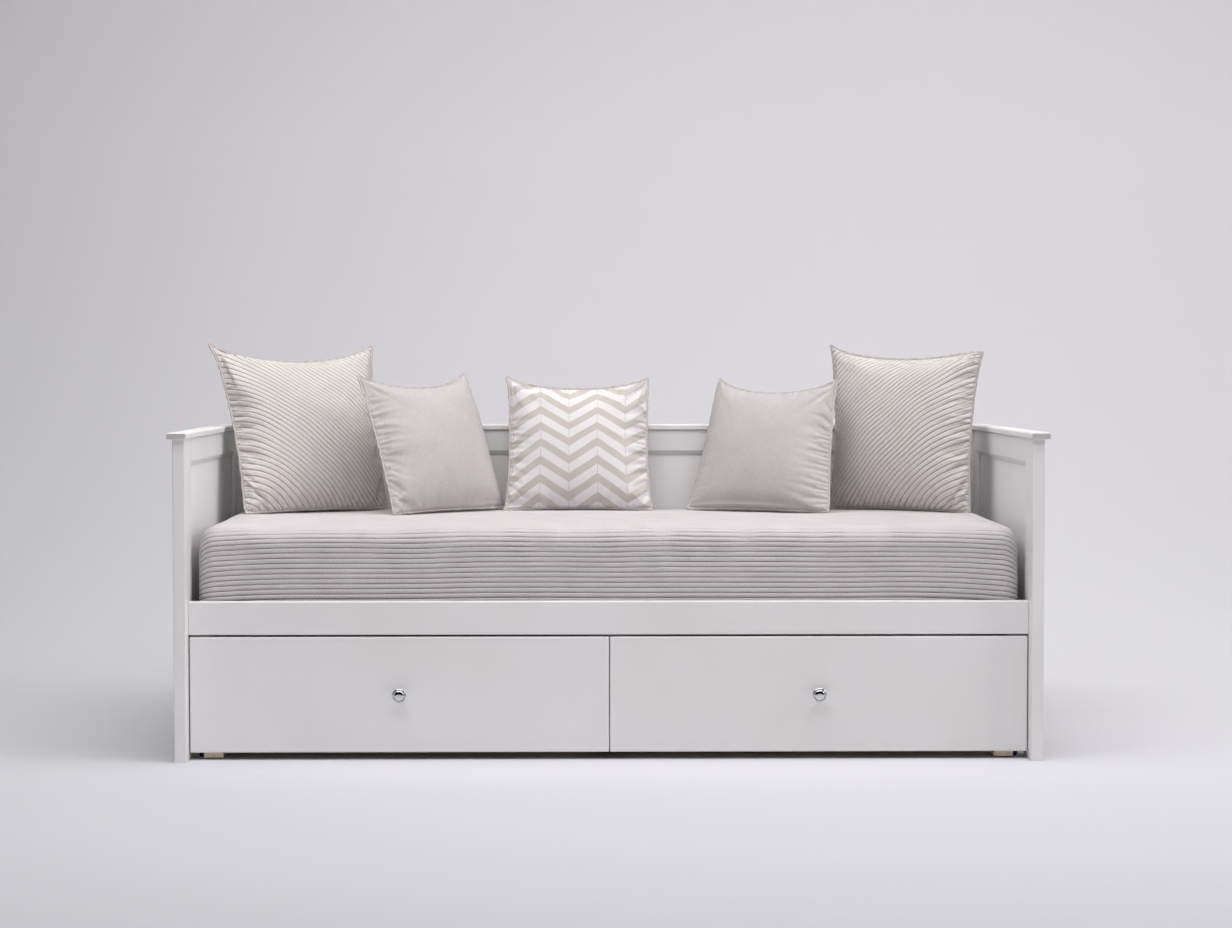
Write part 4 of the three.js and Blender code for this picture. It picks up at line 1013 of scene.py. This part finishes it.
for side in (-1, 1):
    for front in (True, False):
        buildCornerSeam(side, front)
print("corner seams made")


# a knob's radius and distance from the drawer front, in millimetres
knob = {"outline": ((0.0, 0.0), (9.0, 0.0), (9.4, 0.6), (9.2, 1.6), (7.6, 2.6), (6.6, 4.2), (6.2, 7.0), (6.4, 10.0),
                    (7.4, 12.6), (10.0, 14.8), (14.0, 16.6), (16.4, 18.2), (17.4, 20.0), (17.5, 21.4), (17.0, 23.0),
                    (15.9, 24.3), (14.4, 24.9), (13.4, 24.7), (12.9, 24.0), (12.4, 24.1), (11.9, 24.9), (10.6, 26.1),
                    (8.4, 26.9), (5.4, 27.35), (2.6, 27.48), (0.0, 27.5)),
        "segments": 72, "finer": 3}


def buildKnob(side):
    node = f"{side}_drawer_knob"
    low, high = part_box(node)
    scale = (high.y - low.y) / (knob["outline"][-1][1] * mm)
    rows = refined(np.array(knob["outline"])[None].repeat(2, 0), knob["finer"])[0] * mm * scale
    rows = np.maximum(rows, 0)
    turn = np.linspace(0, 2 * math.pi, knob["segments"], endpoint=False)
    ring = rows[1:-1]
    x = (low.x + high.x) / 2 + ring[:, :1] * np.cos(turn)
    z = (low.z + high.z) / 2 + ring[:, :1] * np.sin(turn)
    y = high.y - np.broadcast_to(ring[:, 1:], x.shape)
    points = np.stack([x, y, z], -1).reshape(-1, 3)
    centre = [[(low.x + high.x) / 2, high.y - rows[i, 1], (low.z + high.z) / 2] for i in (0, -1)]
    wrapped = tubeIds(*x.shape)
    inner, outer = len(points), len(points) + 1
    faces = [f for f in quads(wrapped)] + [f[[0, 2, 1]] for f in fan(inner, wrapped[0])] + fan(outer, wrapped[-1])
    obj = meshObject(f"turned_knob_{side}", np.concatenate([points, centre]), faces, "chrome")
    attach(obj, f"{side}_drawer")
    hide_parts(node)


for side in ("left", "right"):
    buildKnob(side)
print("knobs made")


# the knock-down bolts that hold the rails to the ends, seen on the outer faces of the stiles
bolts = {"headRadius": 7.0, "headHeight": 1.2, "socketRadius": 2.6, "socketDepth": 0.9, "apart": 44.0,
         "front": {"node": "front_rail", "stile": "front_stile", "fromFace": 34.0},
         "rear": {"node": "back_bottom_rail", "stile": "rear_stile", "fromFace": 30.0}}


def boltTree():
    # a flat round head with a hexagon socket, set on each point
    tree, add, given = startTree("boltHeads", "places", ("radius", "height", "socket", "depth"), "metal")
    head = add("GeometryNodeMeshCylinder", {"Vertices": 36, "Radius": given["radius"], "Depth": given["height"]},
               fill_type="NGON")
    sunk = add("Math", given["height"], 0.5, operation="MULTIPLY")
    lift = add("CombineXYZ", {2: sunk})
    double = add("Math", given["depth"], 2.0, operation="MULTIPLY")
    socket = add("GeometryNodeMeshCylinder", {"Vertices": 6, "Radius": given["socket"], "Depth": double},
                 fill_type="NGON")
    cutter = add("GeometryNodeTransform", {"Geometry": socket, "Translation": lift})
    bored = add("GeometryNodeMeshBoolean", {"Mesh 1": head, "Mesh 2": cutter}, operation="DIFFERENCE")
    outward = add("GeometryNodeInputNamedAttribute", {"Name": "outward"}, data_type="FLOAT_VECTOR")
    facing = add("FunctionNodeAlignEulerToVector", {"Vector": outward}, axis="Z")
    placed = add("GeometryNodeInstanceOnPoints", {"Points": given["places"], "Instance": bored, "Rotation": facing})
    finishTree(add, placed, given["metal"])
    return tree


def buildBolts(side):
    # a point for each head on the stiles' outer faces
    sign = -1 if side == "left" else 1
    places = []
    for end in ("front", "rear"):
        spec = bolts[end]
        low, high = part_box(f"{side}_{spec['stile']}")
        railLow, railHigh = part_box(spec["node"])
        face = (low.x if sign < 0 else high.x) + sign * bolts["headHeight"] * mm * 0.5
        y = low.y + spec["fromFace"] * mm if end == "front" else high.y - spec["fromFace"] * mm
        for offset in (-0.5, 0.5):
            z = (railLow.z + railHigh.z) / 2 + offset * bolts["apart"] * mm
            places.append((face, y, z))
    mesh = bpy.data.meshes.new("bolt_places")
    mesh.from_pydata(places, [], [])
    mesh.attributes.new("outward", "FLOAT_VECTOR", "POINT").data.foreach_set("vector", [sign, 0.0, 0.0] * len(places))
    obj = grownMesh(f"frame_bolts_{side}", sceneObject("bolt_places", mesh), boltHeads,
                    {"radius": bolts["headRadius"] * mm, "height": bolts["headHeight"] * mm,
                     "socket": bolts["socketRadius"] * mm, "depth": bolts["socketDepth"] * mm,
                     "metal": finishes["steel"]})
    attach(obj, "frame")


boltHeads = boltTree()
for side in ("left", "right"):
    buildBolts(side)
print("bolts made")


# the one paper's tones are graded, the near floor darker than the far floor and the wall: painted shade and light for
# how the lamps fall on it
studio = {"floorFront": -9.0, "wallAt": 3.2, "bend": 2.4, "height": 7.0, "halfWidth": 9.0, "bounce": "#e3e2e6",
          "floor": "#d4d4da", "farFloor": "#e7e7ec", "wall": "#f7f6fa", "wallSide": "#f7f6fa",
          "leftShadeGain": 0.95, "rightLightGain": 1.04,
          # where the floor's tone goes over into the wall's, the near one into the far and the middle into the sides
          "rise": (0.1, 1.8), "away": (-0.9, 1.2), "aside": (0.2, 2.4), "gainReach": 2.4}


def seenDirectly(add):
    # 1 on the rays that show a surface itself, in a mirror or through glass too
    ray = add("LightPath").outputs
    direct = add("Math", ray["Is Camera Ray"], ray["Is Glossy Ray"], operation="MAXIMUM")
    through = add("Math", direct, ray["Is Transmission Ray"], operation="MAXIMUM")
    return ray, through


def paperSweep():
    # matt background paper; the camera and glossy rays see it a step darker than its bounced light,
    # so it stays off the white point and keeps the object's shadow
    material, add, shader = startMaterial("paper", {"Roughness": 0.95, "Specular IOR Level": 0.1})
    place = add("TexCoord").outputs["Object"]
    parts = add("SeparateXYZ", place)
    fades = {"rise": parts.outputs["Z"], "away": parts.outputs["Y"],
             "aside": add("Math", parts.outputs["X"], operation="ABSOLUTE")}
    fades = {key: add("MapRange", {"Value": way, "From Min": studio[key][0], "From Max": studio[key][1]}) for key,
             way in fades.items()}
    fibre = add("TexNoise", {"Vector": place, "Scale": 1 / (4 * mm), "Detail": 2.0})
    high = add("Mix", {0: fades["aside"], 6: studio["wall"], 7: studio["wallSide"]}, data_type="RGBA")
    low = add("Mix", {0: fades["away"], 6: studio["floor"], 7: studio["farFloor"]}, data_type="RGBA")
    whole = add("Mix", {0: fades["rise"], 6: low, 7: high}, data_type="RGBA")
    # painted shade on the left of the paper and painted light on the right
    reach = studio["gainReach"]
    sideLightGain = add("MapRange", {"Value": parts.outputs["X"], "From Min": -reach, "From Max": reach,
                                "To Min": studio["leftShadeGain"], "To Max": studio["rightLightGain"]})
    shown = add("VectorMath", {0: whole, "Scale": sideLightGain}, operation="SCALE")
    colour = add("Mix", {0: seenDirectly(add)[1], 6: studio["bounce"], 7: shown}, data_type="RGBA")
    relief = add("Bump", {"Height": fibre, "Strength": 0.1, "Distance": 0.2 * mm})
    feed(shader, {"Base Color": colour, "Normal": relief})
    # the paper has one side only, so a view from behind looks through it
    behind = add("NewGeometry").outputs["Backfacing"]
    clear = add("BsdfTransparent")
    oneSided = add("MixShader", behind, shader, clear)
    feed(material.node_tree.nodes["Material Output"], {"Surface": oneSided})
    return material


def buildStudio():
    # one sweep of paper: a flat floor that bends up into the wall
    profile = [(studio["floorFront"], 0.0), (0.0, 0.0)]
    bend, wall = studio["bend"], studio["wallAt"]
    for a in np.linspace(0, math.pi / 2, 25):
        profile.append((wall - bend + bend * math.sin(a), bend * (1 - math.cos(a))))
    profile.append((wall, studio["height"]))
    points, faces = [], []
    for y, z in profile:
        points += [(-studio["halfWidth"], y, z), (studio["halfWidth"], y, z)]
    for i in range(len(profile) - 1):
        faces.append(np.array([2 * i, 2 * i + 1, 2 * i + 3, 2 * i + 2]))
    finishes["paper"] = paperSweep()
    meshObject("paper_sweep", points, faces, "paper")


lamps = {
    # two banks overhead, one of them before the bed, a soft box high on the right and a weak one low in front
    "top": {"place": (0.0, -0.2, 3.5), "aim": (0.0, -0.2, 0.0), "size": (5.6, 2.2), "power": 82.0,
            "colour": "#fffdfb"},
    "topFront": {"place": (0.0, -1.8, 3.6), "aim": (0.0, 0.0, 0.4), "size": (5.0, 2.0), "power": 97.0,
                 "colour": "#fefdfd"},
    "right": {"place": (5.4, -1.6, 3.2), "aim": (0.0, 0.0, 0.5), "size": (2.0, 2.0), "power": 86.0,
              "colour": "#fffcfb"},
    "front": {"place": (0.0, -7.0, 1.8), "aim": (0.0, 0.0, 0.5), "size": (5.0, 3.0), "power": 36.0,
              "colour": "#fdfdff"},
}
# pale round the room for the camera; polished metal sees it dark, so that the lamps stand out in it
air = {"level": "#d2d2d6", "dark": "#0c0c0e", "ambient": 0.02}


def buildLights():
    for name, lamp in lamps.items():
        data = bpy.data.lights.new(name, "AREA")
        data.shape = "RECTANGLE"
        data.size, data.size_y = lamp["size"]
        data.energy = lamp["power"]
        data.color = linearColour(lamp["colour"])[:3]
        obj = sceneObject(name, data)
        obj.location = lamp["place"]
        obj.rotation_euler = (Vector(lamp["aim"]) - Vector(lamp["place"])).to_track_quat("-Z", "Y").to_euler()
        obj.visible_camera = False
        obj.visible_glossy = name != "front"
    world = bpy.data.worlds.new("studioAir")
    world.use_nodes = True
    add = partial(addNode, world.node_tree)
    ray, direct = seenDirectly(add)
    seen = add("Mix", {0: ray["Is Glossy Ray"], 6: air["level"], 7: air["dark"]}, data_type="RGBA")
    strength = add("MapRange", {"Value": direct, "To Min": air["ambient"]})
    feed(world.node_tree.nodes["Background"], {"Color": seen, "Strength": strength})
    bpy.context.scene.world = world


buildStudio()
buildLights()
bpy.context.scene.view_settings.view_transform = "Standard"
print("studio lit")
